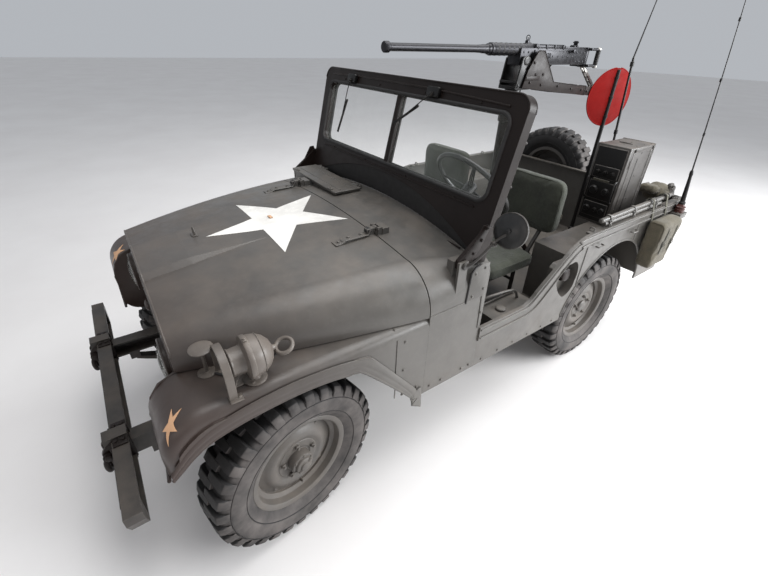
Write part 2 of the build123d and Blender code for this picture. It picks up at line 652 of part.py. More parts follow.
def fender_mass(inset, x0, low):
    """The fender as a solid that far inside its skin, its outer top edge rounded."""
    out = BODY_HALF_W - inset
    shape = Part() + side_prism(fender_side(inset, low), x0, out)
    rounded = []
    for edge in shape.edges():
        box = edge.bounding_box()
        if abs(edge.center().X - out) < 1 and box.max.Z > FENDER_TOP - inset - 1 and box.min.Z > low + 1:
            rounded.append(edge)
    return fillet(rounded, FENDER_EDGE_R - inset)


def fender_left():
    """A hollow front fender with its rounded nose, arch lip and engine bay apron."""
    out, t = BODY_HALF_W, PANEL_T
    shape = fender_mass(0, NOSE_X, BODY_LOW) - fender_mass(t, NOSE_X - 1, BODY_LOW - 20)
    behind = block(NOSE_X - 1, out - t, FENDER_FRONT_Y + t, SEAM_Y, BODY_LOW - 40, FENDER_TOP)
    shape -= side_prism(fender_arch(), NOSE_X - 1, out - t) & behind
    shape -= side_prism(fender_arch(), out - t, out + 1)
    below = outline((NOSE_X - 1, BODY_LOW - 1), (out + 1, BODY_LOW - 1), (out + 1, NOSE_TIP_Z),
                    (NOSE_X - 1, NOSE_LOW_Z + CHEEK_R / 2))
    shape -= front_prism(below, FENDER_FRONT_Y - 1, FENDER_FRONT_Y + t + 1)
    shape += side_prism(nose_cheek(), NOSE_X, NOSE_X + t)
    bay0, bay1 = HOOD_FRONT_Y + LAMP_DEPTH + 20, SEAM_Y - CLEAR
    shape += block(FENDER_IN_X, FENDER_IN_X + t, bay0, bay1, 600, FENDER_TOP)
    shape += block(FENDER_IN_X, NOSE_X, bay0, bay1, FENDER_TOP - t, FENDER_TOP)
    band = side_prism(fender_band(), out - 2, out + BELT_PROUD)
    limit = side_prism(fender_side(FENDER_EDGE_R, BODY_LOW), out - 2, out + BELT_PROUD)
    limit += block(out - 2, out + BELT_PROUD, SEAM_Y - 120, SEAM_Y - CLEAR, BODY_LOW, FENDER_TOP - NOSE_R)
    return shape + (band & limit)


def nose_cheek():
    """The (y, z) outline of the upright plate that closes the nose towards the headlamp."""
    front, top, low = FENDER_FRONT_Y + 1, FENDER_TOP - 1, NOSE_LOW_Z
    bend, corner = (NOSE_R - 1) * (1 - math.sqrt(0.5)), CHEEK_R * (1 - math.sqrt(0.5))
    rear = HOOD_FRONT_Y + 14
    return outline((front, low + CHEEK_R), (front, top - NOSE_R + 1),
                   ((front + bend, top - bend), (front + NOSE_R - 1, top)), (rear, top), (rear, low + CHEEK_CUT),
                   (rear - CHEEK_CUT / 2, low), (front + CHEEK_R, low),
                   ((front + corner, low + corner), (front, low + CHEEK_R)))


def grille():
    """The upright grille panel with seven slots and a hole for each headlamp."""
    top = HOOD_LIP_Z - SEAM_GAP
    w = GRILLE_HALF_W
    shape = front_prism(hood_front(HOOD_FRONT_W - w, 500), HOOD_FRONT_Y, HOOD_FRONT_Y + GRILLE_T)
    face = outline((-w, top), (-w, 860), (-392, 660), (-330, 575), (330, 575), (392, 660), (w, 860), (w, top))
    shape &= front_prism(face, HOOD_FRONT_Y, HOOD_FRONT_Y + GRILLE_T)
    for i in range(-3, 4):
        x = SLOT_PITCH * i
        shape -= block(x - SLOT_W / 2, x + SLOT_W / 2, HOOD_FRONT_Y - 5, HOOD_FRONT_Y + 20, 650, 930)
    for side in (-1, 1):
        x = side * LAMP_X
        shape -= rod((x, HOOD_FRONT_Y - 5, LAMP_Z), (x, HOOD_FRONT_Y + 20, LAMP_Z), LAMP_R)
    return shape


def headlamps():
    """A pair of headlamps, each a bucket with a domed front."""
    shape = Part()
    r = LAMP_R - CLEAR
    for side in (-1, 1):
        x = side * LAMP_X
        lamp = rod((x, HOOD_FRONT_Y - 16, LAMP_Z), (x, HOOD_FRONT_Y + LAMP_DEPTH, LAMP_Z), r)
        dome = Pos(x, HOOD_FRONT_Y + 160, LAMP_Z) * Sphere(200)
        dome &= block(x - r, x + r, HOOD_FRONT_Y - 60, HOOD_FRONT_Y, LAMP_Z - r, LAMP_Z + r)
        dome &= rod((x, HOOD_FRONT_Y - 80, LAMP_Z), (x, HOOD_FRONT_Y, LAMP_Z), r - 8)
        shape += lamp + dome
    return shape


def radiator():
    """The radiator block behind the grille."""
    return block(-270, 270, RADIATOR_Y - 30, RADIATOR_Y + 30, RAIL_LOW + RAIL_H + CLEAR, 1000)


# Windshield

def shield_point(up, out):
    """A (y, z) point on the leaning windshield: up along it, and out in front of its front face."""
    lean = math.radians(SHIELD_LEAN)
    y = SHIELD_FOOT_Y + up * math.sin(lean) - out * math.cos(lean)
    return (y, SHIELD_FOOT_Z + up * math.cos(lean) + out * math.sin(lean))


def shield_plane(out):
    """A plane parallel to the windshield, drawn on as (x, distance up from its foot)."""
    y, z = shield_point(0, out)
    lean = math.radians(SHIELD_LEAN)
    return Plane(origin=(0, y, z), x_dir=(1, 0, 0), z_dir=(0, -math.cos(lean), math.sin(lean)))


def shield_up(z):
    """The distance up the windshield at height z."""
    return (z - SHIELD_FOOT_Z) / math.cos(math.radians(SHIELD_LEAN))


def windshield_frame():
    """The folding frame: rails and posts, a centre bar, an apron and its two hinge arms."""
    w, top = SHIELD_HALF_W, shield_up(SHIELD_TOP_Z)
    low_side = shield_up(COWL_STEP_Z + 22)
    low_mid = shield_up(CROWN_REAR + 22)
    r = 55
    bend = r * (1 - math.sqrt(0.5))
    face = outline((-w, low_side), ((0, 2 * low_mid - low_side + 30), (w, low_side)), (w, top - r),
                   ((w - bend, top - bend), (w - r, top)), (-w + r, top), ((-w + bend, top - bend), (-w, top - r)))
    shape = extrude(shield_plane(-SHIELD_T) * face, SHIELD_T)
    g0, g1, gw = shield_up(GLASS_LOW_Z), shield_up(GLASS_TOP_Z), w - GLASS_SIDE
    hole = shield_plane(-SHIELD_T - 5) * Pos(0, (g0 + g1) / 2) * RectangleRounded(2 * gw, g1 - g0, 45)
    shape -= extrude(hole, SHIELD_T + 10)
    shape += extrude(shield_plane(-SHIELD_T / 2 - 16) * Pos(0, (g0 + g1) / 2) * Rectangle(22, g1 - g0 + 4), 32)
    lower = shield_plane(-SHIELD_T) * outline((-w + 25, low_side - 5), (w - 25, low_side - 5), (w - 25, g0 - 45),
                                              (-w + 25, g0 - 45))
    shape -= extrude(lower, SHIELD_T - 14)
    foot_y, foot_z = shield_point(-20, 0)
    for side in (-1, 1):
        x0, x1 = sorted((side * (w - 10), side * (w + 2)))
        arm = outline((SHIELD_PIVOT_Y - 18, SHIELD_PIVOT_Z - 14), (foot_y + 30, foot_z - 60),
                      (foot_y + 34, foot_z + 50), (foot_y - 4, foot_z + 50), (SHIELD_PIVOT_Y - 18, SHIELD_PIVOT_Z + 22))
        shape += side_prism(arm, x0, x1)
        shape -= rod((side * (w - 20), SHIELD_PIVOT_Y, SHIELD_PIVOT_Z),
                     (side * (w + 12), SHIELD_PIVOT_Y, SHIELD_PIVOT_Z), 9 + CLEAR)
    return shape


def windshield_glass():
    """Two panes, one each side of the centre bar."""
    g0, g1, gw = shield_up(GLASS_LOW_Z), shield_up(GLASS_TOP_Z), SHIELD_HALF_W - GLASS_SIDE
    pane = shield_plane(-SHIELD_T / 2 - GLASS_T / 2) * Pos(0, (g0 + g1) / 2)
    pane *= RectangleRounded(2 * gw - 2 * CLEAR, g1 - g0 - 2 * CLEAR, 45 - CLEAR)
    shape = extrude(pane, GLASS_T)
    bar = shield_plane(-SHIELD_T) * Pos(0, (g0 + g1) / 2) * Rectangle(22 + 2 * CLEAR, g1 - g0)
    return shape - extrude(bar, SHIELD_T)


def wipers():
    """Two wipers that hang from the top rail in front of the glass."""
    shape = Part()
    for x, swing in ((-430.0, 20.0), (230.0, 55.0)):
        root_y, root_z = shield_point(shield_up(GLASS_TOP_Z) + 18, 8 + CLEAR)
        lean = math.radians(swing)
        tip_up = shield_up(GLASS_TOP_Z) + 18 - 250 * math.cos(lean)
        tip_y, tip_z = shield_point(tip_up, 6)
        tip_x = x - 250 * math.sin(lean)
        shape += rod((x, root_y, root_z), (tip_x, tip_y, tip_z), 5)
        body = shield_plane(CLEAR) * Pos(x, shield_up(GLASS_TOP_Z) + 30) * RectangleRounded(60, 40, 8)
        shape += extrude(body, 22)
    return shape


# Bumpers, mirror, lamps and outside gear

def front_bumper():
    """A channel bumper with pointed ends and two shackle clamps at the frame's horns."""
    y0, y1 = BUMPER_Y, BUMPER_Y + BUMPER_DEPTH
    low, high = BUMPER_LOW, BUMPER_LOW + BUMPER_H
    w = BUMPER_HALF
    face = outline((-w + 40, low), (w - 40, low), (w, high - 40), (w, high), (-w, high), (-w, high - 40))
    shape = front_prism(face, y0, y1)
    shape -= block(-w + 60, w - 60, y0 + 10, y1 + 1, low + 10, high - 10)
    for side in (-1, 1):
        x = side * (RAIL_X + 5)
        clamp = block(x - 26, x + 26, SHACKLE_Y, y1 + CLEAR, low - 16, high + 16)
        clamp -= block(x - 40, x + 40, y0, y1 + 5, low, high)
        shape += clamp
        shape += block(x - 22, x + 22, y0, y1 + CLEAR, low + 10, high - 10)
    return shape


def rear_bumper():
    """Two short rear bumperettes and the tow hook between them."""
    shape = Part()
    y0 = TUB_REAR_Y - 20 + CLEAR
    for side in (-1, 1):
        x = side * RAIL_X
        z = RAIL_LOW + 14
        shape += block(x - 30, x + 30, y0, TUB_REAR_Y + 70, z - 28, z + 28)
        shape += bent_tube([(x, TUB_REAR_Y + 55, z), (x + side * 230, TUB_REAR_Y + 55, z),
                            (x + side * 250, TUB_REAR_Y - 60, z)], 50, 27)
    z = RAIL_LOW + 8
    hook = block(-45, 45, y0, TUB_REAR_Y + 40, z, z + 62)
    hook += block(-25, 25, TUB_REAR_Y + 40, TUB_REAR_Y + 150, z + 2, z + TOW_EYE_L + 2)
    hook -= rod((0, TUB_REAR_Y + 115, z - 10), (0, TUB_REAR_Y + 115, z + 90), TOW_EYE_R)
    hook += block(-RAIL_X + 30, RAIL_X - 30, y0, y0 + 12, z, z + 52)
    return shape + hook


def spare(kind):
    """The spare tyre or its wheel, upright on the rear panel at the right."""
    at_y = TUB_REAR_Y + SPARE_GAP + TYRE_W / 2
    maker = tyre if kind == "tyre" else wheel
    flat = maker(0, 0, 1) if kind == "tyre" else maker(0, 0, 1, 44)
    turned = Rot(0, 0, 90) * (Pos(0, 0, -HUB_Z) * flat)
    shape = Pos(SPARE_X, at_y, SPARE_Z) * turned
    if kind == "wheel":
        shape += rod((SPARE_X, TUB_REAR_Y + CLEAR, SPARE_Z), (SPARE_X, at_y + 14, SPARE_Z), 60)
    return shape


def mirror_arm():
    """A round mirror on a thin arm from the windshield's hinge bracket."""
    x0, y0, z0 = BODY_HALF_W - 1 + CLEAR, SHIELD_PIVOT_Y + 6, SHIELD_PIVOT_Z
    shape = rod((x0, y0, z0), (x0 + 8, y0, z0), 14)
    shape += bent_tube([(x0 + 4, y0, z0), (x0 + 20, y0 + 20, z0 + 16), (x0 + 34, -180, 1196),
                        (MIRROR_X, -146, 1236)], 15, 5)
    turn = Pos(MIRROR_X, -142, 1249) * Rot(0, 0, MIRROR_TURN) * Rot(90 - MIRROR_TILT, 0, 0)
    return shape + turn * Cylinder(MIRROR_R, 20)


def hoop_face(x, z, leg, r):
    """The (x, z) face of an upside-down U standing at z."""
    return outline((x + r, z), (x + r, z + leg), ((x, z + leg + r), (x - r, z + leg)), (x - r, z))


def marker_lamp(base):
    """The small marker lamp with a domed cap on a thin stem, on the fender's nose."""
    x, y = BODY_HALF_W - 176, AXLE_F - 218
    drop = max(0, FENDER_FRONT_Y + NOSE_R - y - 18)
    foot = FENDER_TOP - NOSE_R + math.sqrt(NOSE_R ** 2 - drop ** 2) + CLEAR
    shape = rod((x, y, foot), (x, y, foot + 5), 18)
    shape += rod((x, y, foot), (x, y, base + 100), 6)
    shape += rod((x, y, base + 88), (x, y, base + 100), 34)
    cap = Pos(x, y, base + 82) * Sphere(38)
    return shape + (cap & block(x - 38, x + 38, y - 38, y + 38, base + 98, base + 130))


def blackout_lamp():
    """The hooded driving lamp on the left fender, its guard strap and the marker lamp ahead."""
    base = FENDER_TOP + CLEAR
    x, y, z = BODY_HALF_W - 65, AXLE_F - 97, base + 97
    shape = Part() + Pos(x, y, z) * Sphere(68)
    shape -= block(x - 90, x + 90, y - 90, y - 8, z - 90, z + 90)
    shape += rod((x, y - 6, z), (x, y - 20, z), 70)
    shape += rod((x, y - 20, z), (x, y - 68, z), 44)
    shape += rod((x, y, base), (x, y, z - 40), 14)
    shape += rod((x, y, base), (x, y, base + 8), 38)
    hoop_x, hoop_y, hoop_r, leg = BODY_HALF_W - 87, y - 85, 78.0, 72.0
    shape += front_prism(hoop_face(hoop_x, base, leg, hoop_r) - hoop_face(hoop_x, base, leg, hoop_r - 6),
                         hoop_y - 13, hoop_y + 13)
    shape += block(hoop_x - hoop_r, hoop_x + hoop_r, hoop_y - 13, y, base, base + 4)
    return shape + marker_lamp(base)


def steering_column():
    """The column from the steering box through the firewall, up to the wheel."""
    lean = math.radians(COLUMN_LEAN)
    ry, rz = math.sin(lean), math.cos(lean)
    near = STEERING_HUB + CLEAR
    far = (WHEEL_Y - SEAM_Y - PANEL_T - COLUMN_R * rz - CLEAR) / ry
    end = (COLUMN_X, WHEEL_Y - near * ry, STEERING_Z - near * rz)
    low = (COLUMN_X, WHEEL_Y - far * ry, STEERING_Z - far * rz)
    return rod(low, end, COLUMN_R)


def steering_wheel():
    """Rim, hub and three spokes, square to the column."""
    lean = COLUMN_LEAN
    ring = Torus(STEERING_R, 13)
    shape = Part() + ring + Pos(0, 0, 5 - STEERING_HUB / 2) * Cylinder(30, STEERING_HUB + 10)
    for i in range(3):
        angle = math.radians(90 + 120 * i)
        c, s = math.cos(angle), math.sin(angle)
        shape += rod((0, 0, -18), (STEERING_R * c, STEERING_R * s, 0), 8)
    return Pos(COLUMN_X, WHEEL_Y, STEERING_Z) * Rot(-lean, 0, 0) * shape


def seat(x, width):
    """A seat on a tubular frame: cushion, back and legs."""
    y0, y1, top = SEAT_FRONT_Y, AXLE_R - WHEELHOUSE_AHEAD - 30, SEAT_Z
    cushion = block(x - width / 2, x + width / 2, y0, y1, top - 85, top)
    cushion = fillet(cushion.edges().filter_by(Axis.Z), 40)
    back = block(x - width / 2, x + width / 2, SEAT_BACK_Y, SEAT_BACK_Y + 80, top + 65, top + 400)
    back = fillet(back.edges().filter_by(Axis.Y), 50)
    shape = Part() + cushion + back
    for side in (-1, 1):
        rail = x + side * (width / 2 - 110)
        shape += bent_tube([(rail, y0 + 40, FLOOR_Z + CLEAR), (rail, y0 + 40, top - 75), (rail, y1 - 10, top - 75),
                            (rail, SEAT_BACK_Y + 40, top + 90)], 25, 12)
        shape += rod((rail, y1 - 60, FLOOR_Z + CLEAR), (rail, y1 - 60, top - 75), 12)
    return shape


def fuel_tank():
    """The tank beside the driver's seat at the door sill."""
    tank = block(612, BODY_HALF_W - PANEL_T - CLEAR, 20, 330, FLOOR_Z + CLEAR, 700)
    return fillet(tank.edges().filter_by(Axis.Y), 25)


def pedestal():
    """The gun's column on its floor plate with three struts."""
    base = FLOOR_Z + CLEAR
    shape = rod((0, PEDESTAL_Y, base), (0, PEDESTAL_Y, PEDESTAL_TOP), PEDESTAL_R)
    shape += rod((0, PEDESTAL_Y, base), (0, PEDESTAL_Y, base + 12), 150)
    for angle in (30, 150, 270):
        c, s = math.cos(math.radians(angle)), math.sin(math.radians(angle))
        shape += rod((340 * c, PEDESTAL_Y + 340 * s, base + 14), (40 * c, PEDESTAL_Y + 40 * s, base + 420), 16)
        shape += rod((340 * c, PEDESTAL_Y + 340 * s, base), (340 * c, PEDESTAL_Y + 340 * s, base + 20), 40)
    shape -= rod((0, PEDESTAL_Y, PEDESTAL_TOP - 120), (0, PEDESTAL_Y, PEDESTAL_TOP + 1), 26 + CLEAR)
    return shape


def gun_cradle():
    """The cradle on its pintle: two cheeks with the trunnion pins."""
    y, z = PEDESTAL_Y, PEDESTAL_TOP
    shape = rod((0, y, z - 100), (0, y, z + 40), 26)
    shape += rod((0, y, z + CLEAR), (0, y, z + 30), 46)
    shape += block(-62, 62, y - 60, y + 70, z + 22, z + 42)
    for side in (-1, 1):
        x0, x1 = sorted((side * 52, side * 62))
        cheek = outline((y - 60, z + 30), (y + 70, z + 30), (y + 34, TRUNNION_Z + 22), (y - 34, TRUNNION_Z + 22))
        shape += side_prism(cheek, x0, x1)
        shape -= rod((side * 40, y, TRUNNION_Z), (side * 70, y, TRUNNION_Z), 11 + CLEAR)
    return shape


def machine_gun():
    """The gun's plain outer form as one solid mass, with no bore and no mechanism."""
    y0, y1, z = GUN_MUZZLE_Y, GUN_REAR_Y, GUN_AXIS_Z
    half = RECEIVER_HALF_W
    shape = rod((0, y0, z), (0, 700, z), BARREL_R)
    shape += rod((0, y0, z), (0, y0 + 24, z), BARREL_R + 5)
    shape += rod((0, 500, z), (0, 850, z), JACKET_R)
    shape += block(-half, half, PEDESTAL_Y - 40, y1 - 120, TRUNNION_Z - 22, z + 12)
    shape += block(-half - 6, half + 6, 850, 1250, z - 60, z + 2)
    shape += rod((-52, PEDESTAL_Y, TRUNNION_Z), (52, PEDESTAL_Y, TRUNNION_Z), 11)
    shape += rod((-62, PEDESTAL_Y, TRUNNION_Z), (62, PEDESTAL_Y, TRUNNION_Z), 11)
    shape += block(-half, half, y1 - 120, y1 - 96, z - 90, z + 20)
    for side in (-1, 1):
        x = side * 55
        shape += rod((x, y1 - 20, z - 85), (x, y1 - 20, z + 15), 14)
        shape += block(x - 10, x + 10, y1 - 110, y1 - 10, z - 88, z - 72)
        shape += block(x - 10, x + 10, y1 - 110, y1 - 10, z + 2, z + 18)
    shape += block(-70, 70, y1 - 112, y1 - 92, z - 88, z + 18)
    shape += block(-8, 8, 822, 834, z + 10, z + 72)
    shape += block(-16, 16, 1290, 1306, z + 10, z + 50)
    return shape


def gun_tray():
    """The tray that tips with the gun: two notched side plates, a beam to the rear and its bracket."""
    z = GUN_AXIS_Z
    plate = outline((790, z - 92), (850, z - 3), (905, z - 3), (1050, z - 163), (1420, z - 198),
                    (1412, z - 250), (898, z - 201), (760, z - 188))
    shape = Part()
    for side in (-1, 1):
        x0, x1 = sorted((side * TRAY_X, side * (TRAY_X + TRAY_T)))
        shape += side_prism(plate, x0, x1)
        pad0, pad1 = sorted((side * (RECEIVER_HALF_W + 6 + CLEAR), side * TRAY_X))
        shape += block(pad0, pad1, 868, 908, z - 52, z - 12)
    beam = outline((1030, z - 163), (1640, z - 215), (1632, z - 268), (1030, z - 214))
    shape += side_prism(beam, -TRAY_X, TRAY_X)
    shape += block(-30, 30, 1590, 1640, z - 240, z - 204)
    plate_y = GUN_REAR_Y - 92 + CLEAR
    strut = outline((plate_y, z - 70), (plate_y + 24, z - 70), (1640, z - 218), (1600, z - 218))
    return shape + side_prism(strut, -12, 12)


def antennas():
    """A whip on a bracket at the body's rear left corner, and a banded mast that stands in the bed."""
    x, y, z, lean = ANTENNA_X, ANTENNA_Y, ANTENNA_FOOT_Z, ANTENNA_LEAN
    shape = block(BODY_HALF_W + CLEAR, x + 36, y - 48, y + 48, z - 80, z)
    shape += rod((x, y, z), (x, y, z + 58), 26)
    shape += rod((x, y, z + 50), (x - 200 * lean, y, z + 250), 12)
    shape += rod((x - 190 * lean, y, z + 240), (x - 1340 * lean, y, z + 1340), 5)
    mast_y = TUB_REAR_Y - 85
    low, band, lean = FLOOR_Z + CLEAR, 1250, MAST_LEAN
    top = (MAST_X - band * lean + 46, mast_y, low + band + 450)
    shape += rod((MAST_X, mast_y, low), (MAST_X, mast_y, low + 12), 50)
    shape += rod((MAST_X, mast_y, low + 2), (MAST_X - band * lean, mast_y, low + band), 9)
    return shape + rod((MAST_X - (band - 5) * lean, mast_y, low + band - 5), top, 5)


def radio_front():
    """Where the radio set's front stands in the bed."""
    return AXLE_R + 101.5


def radio_box():
    """The tall radio set on the left wheelhouse."""
    base = WHEELHOUSE_TOP + CLEAR
    return block(WHEELHOUSE_X - 95, WHEELHOUSE_X + 105, radio_front(), radio_front() + 300, base, base + 473)


def bow_tubes():
    """The folded top bows, lying along the left edge of the body."""
    x, z = BODY_HALF_W - 22, TUB_TOP_Z + 16
    rear = TUB_REAR_Y - 205
    shape = bent_tube([(x, 760, z + 26), (x, rear, z + 34), (x - 40, rear + 80, z + 60)], 40, 14)
    shape += bent_tube([(x, 800, z + 2), (x, rear - 140, z + 2), (x, rear - 110, z + 2.5)], 10, 14)
    for y in (840, rear - 200):
        shape += block(x - 18, x + 18, y - 12, y + 12, TUB_TOP_Z + CLEAR, z + 45)
    return shape


def signal_disc():
    """A black pole in the bed with a red half disc bolted to its top."""
    x, y = SIGNAL_X, TUB_REAR_Y - 115
    low, middle = FLOOR_Z + CLEAR, FLOOR_Z + 1011
    shape = rod((x, y, low), (x, y, middle + SIGNAL_R - 10), 14)
    shape += rod((x, y, low), (x, y, low + 14), 60)
    r = SIGNAL_R
    for turn, shift in ((0, 0), (12, 7)):
        flag = Rot(0, 0, 80 - turn) * Pos(0, 0, -2) * Rot(90, 0, 0)
        half = extrude(outline((0, -r), ((r, 0), (0, r))), 5)
        shape += Pos(x, y + shift, middle) * flag * half
    return shape


def side_bag():
    """A canvas bag hung on the body's left side, narrower at the bottom."""
    x0, rear = BODY_HALF_W + BELT_PROUD + CLEAR, TUB_REAR_Y - 205
    top = TUB_TOP_Z - 46
    face = outline((rear - 275, top), (rear - 245, 645), ((rear - 120, 630), (rear - 20, 645)), (rear, top))
    bag = side_prism(face, x0, x0 + 100)
    return fillet(bag.edges().filter_by(Axis.X), 25)


def canvas_roll():
    """The rolled canvas cover across the rear of the bed."""
    y, z = TUB_REAR_Y - 125, FLOOR_Z + ROLL_R + CLEAR
    return rod((-490, y, z), (50, y, z), ROLL_R)


def jerry_can():
    """A fuel can on the rear panel, left of the spare wheel."""
    y0 = TUB_REAR_Y + CLEAR
    x0, x1, low, top = BODY_HALF_W - 465, BODY_HALF_W - 125, 560, 990
    can = block(x0, x1, y0, y0 + 165, low, top)
    can = fillet(can.edges().filter_by(Axis.Y), 40)
    for x in (x0 + 110, x0 + 170, x0 + 230):
        can += block(x - 8, x + 8, y0 + 40, y0 + 125, top - 5, top + 25)
        can += rod((x, y0 + 40, top + 22), (x, y0 + 125, top + 22), 9)
    return can


def pioneer_tools():
    """A shovel and an axe clipped along the body's right side."""
    face = -(BODY_HALF_W + CLEAR)
    out = face - TOOLS_OUT
    shape = rod((out + 82, -60, 600), (out + 82, 540, 600), 17)
    shape += block(out + 60, out + 104, 480, 560, 515, 640)
    shape += rod((out + 17, -110, 600), (out + 17, 380, 600), 16)
    shape += block(out + 8, out + 26, 340, 520, 520, 680)
    for y in (20, 300):
        shape += block(out, face, y - 12, y + 12, 570, 630)
    return shape


pieces = {
    "chassis_frame": chassis_frame(),
    "power_unit": power_unit(),
    "prop_shafts": prop_shafts(),
    "exhaust": exhaust(),
    "body_tub": body_tub(),
    "body_side_left": body_side(1),
    "body_side_right": body_side(-1),
    "cowl": cowl() + lid_frame(),
    "fender_left": fender_left(),
    "fender_right": mirrored(fender_left()),
    "grille": grille(),
    "headlamps": headlamps(),
    "radiator": radiator(),
    "hood": hood(),
    "battery_lid": battery_lid(),
    "windshield_frame": windshield_frame(),
    "windshield_glass": windshield_glass(),
    "wipers": wipers(),
    "front_bumper": front_bumper(),
    "rear_bumper": rear_bumper(),
    "front_axle": front_axle(),
    "rear_axle": rear_axle(),
    "leaf_springs": leaf_springs(),
    "knuckle_left": knuckle(1),
    "knuckle_right": knuckle(-1),
    "tie_rod": tie_rod(),
    "spare_tyre": spare("tyre"),
    "spare_wheel": spare("wheel"),
    "steering_column": steering_column(),
    "steering_wheel": steering_wheel(),
    "driver_seat": seat(360.0, 440.0),
    "passenger_seat": seat(-365.0, 440.0),
    "fuel_tank": fuel_tank(),
    "pedestal": pedestal(),
    "gun_cradle": gun_cradle(),
    "machine_gun": machine_gun(),
    "gun_tray": gun_tray(),
    "antennas": antennas(),
    "radio_box": radio_box(),
    "bow_tubes": bow_tubes(),
    "signal_disc": signal_disc(),
    "side_bag": side_bag(),
    "canvas_roll": canvas_roll(),
    "jerry_can": jerry_can(),
    "pioneer_tools": pioneer_tools(),
    "mirror": mirror_arm(),
    "blackout_lamp": blackout_lamp(),
}
for end, y, hub_tip in (("front", AXLE_F, HUB_TIP_FRONT), ("rear", AXLE_R, HUB_TIP_REAR)):
    for side, sign in (("left", 1), ("right", -1)):
        made = {"tyre": tyre(sign * WHEEL_X, y, sign), "wheel": wheel(sign * WHEEL_X, y, sign, hub_tip)}
        for kind, shape in made.items():
            if end == "front":
                shape = steered(shape, sign * KINGPIN_X)
            pieces[f"{kind}_{end}_{side}"] = shape

os.makedirs("parts", exist_ok=True)
for name, shape in pieces.items():
    export_step(Pos(0, -MID_Y, LIFT) * shape, f"parts/{name}.step")
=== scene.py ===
import json
from math import atan2, copysign, cos, pi, radians, sin, sqrt

import bmesh
import bpy
from mathutils import Matrix, Vector, noise
from mathutils.bvhtree import BVHTree
from mathutils.kdtree import KDTree


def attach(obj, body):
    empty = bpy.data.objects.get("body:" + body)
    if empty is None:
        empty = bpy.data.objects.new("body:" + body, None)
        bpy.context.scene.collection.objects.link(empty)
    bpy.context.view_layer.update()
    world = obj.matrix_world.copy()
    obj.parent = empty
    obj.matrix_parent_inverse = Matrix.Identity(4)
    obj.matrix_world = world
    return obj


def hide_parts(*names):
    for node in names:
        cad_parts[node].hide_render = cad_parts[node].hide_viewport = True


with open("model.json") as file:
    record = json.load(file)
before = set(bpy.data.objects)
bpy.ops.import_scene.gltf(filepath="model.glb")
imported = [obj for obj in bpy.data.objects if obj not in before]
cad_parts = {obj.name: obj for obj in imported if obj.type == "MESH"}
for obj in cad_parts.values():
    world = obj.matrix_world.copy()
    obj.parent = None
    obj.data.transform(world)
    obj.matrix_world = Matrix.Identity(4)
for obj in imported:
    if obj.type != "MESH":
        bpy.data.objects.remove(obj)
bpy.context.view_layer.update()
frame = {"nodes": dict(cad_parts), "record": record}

# An open army 4x4 car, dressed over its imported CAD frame.
# Places are written in millimetres in the car's own drawing, where y = 0 lies midway
# between the axles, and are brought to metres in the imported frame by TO_FRAME.

scene = bpy.context.scene

# Sizes shared with the CAD drawing
MID_Y = 171.25
AXLE_F, AXLE_R = -1028.5, 1028.5
WHEEL_X = 640.0
KINGPIN_X = 600.0
STEER_REST = 10.5
TYRE_R, TYRE_W = 372.0, 188.0
RIM_FLANGE_R, RIM_SEAT_R, RIM_W = 222.0, 204.0, 128.0
HUB_TIP = {"front": 91.0, "rear": 50.0}
BODY_X = 765.0
FLOOR_Z = 542.0
SEAM_Y = -440.0
HOOD_FRONT_Y = -1334.5
FENDER_FRONT_Y = -1439.5
CROWN_REAR = 1141.0
TUB_TOP = 1018.0
TUB_REAR_Y = 1765.0
SHIELD_LEAN = radians(13.8)
SHIELD_FOOT_Y, SHIELD_FOOT_Z = -163.0, 1203.0
SHIELD_HALF_W, SHIELD_T = 745.0, 46.0
GLASS_LOW_Z, GLASS_TOP_Z, GLASS_SIDE = 1311.0, 1630.0, 62.0
FRAME_TOP_Z, FRAME_CORNER_R = 1701.0, 55.0
ARM_TOP_Z, COWL_SIDE_Z, COWL_GAP = 1180, 1066.0, 22
BUMPER_Y = -1599.5
PEDESTAL_Y, YOKE_Z, TRUNNION_Z, GUN_Z = 775.0, 1600.0, 1768.0, 1820.0
GRIP_X, GRIP_Y = 55, 1484
SHACKLE_X, PIN_Y, PIN_Z = 330, -1622, 505
HEADLAMP_X, HEADLAMP_Z, REAR_LAMP_X = 385, 850, 690
SPARE_X, SPARE_Y, SPARE_Z = -330, 1873, 895
SPRING_X, DIFF_X = 360, {"front": 150, "rear": 0}
STAR_WAIST, STAR_LIFT, STAR_T = 0.382, 1.2, 0.7

# Ways along the car's axes
LEFT, RIGHT = (1, 0, 0), (-1, 0, 0)
BACK, AHEAD = (0, 1, 0), (0, -1, 0)
UP, DOWN = (0, 0, 1), (0, 0, -1)

TO_FRAME = Matrix.Scale(0.001, 4) @ Matrix.Translation((0, -MID_Y, 0))


def at(x, y, z):
    """A point of the drawing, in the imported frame's metres."""
    return TO_FRAME @ Vector((x, y, z))


# Camera at the photograph's viewpoint

CAMERA_AT = at(1679, -1340, 1850)
CAMERA_AZIMUTH, CAMERA_PITCH, CAMERA_ROLL = radians(53.87), radians(32.20), radians(1.90)
FOCAL_PX, PHOTO_W = 395.6, 768
SENSOR = 36.0


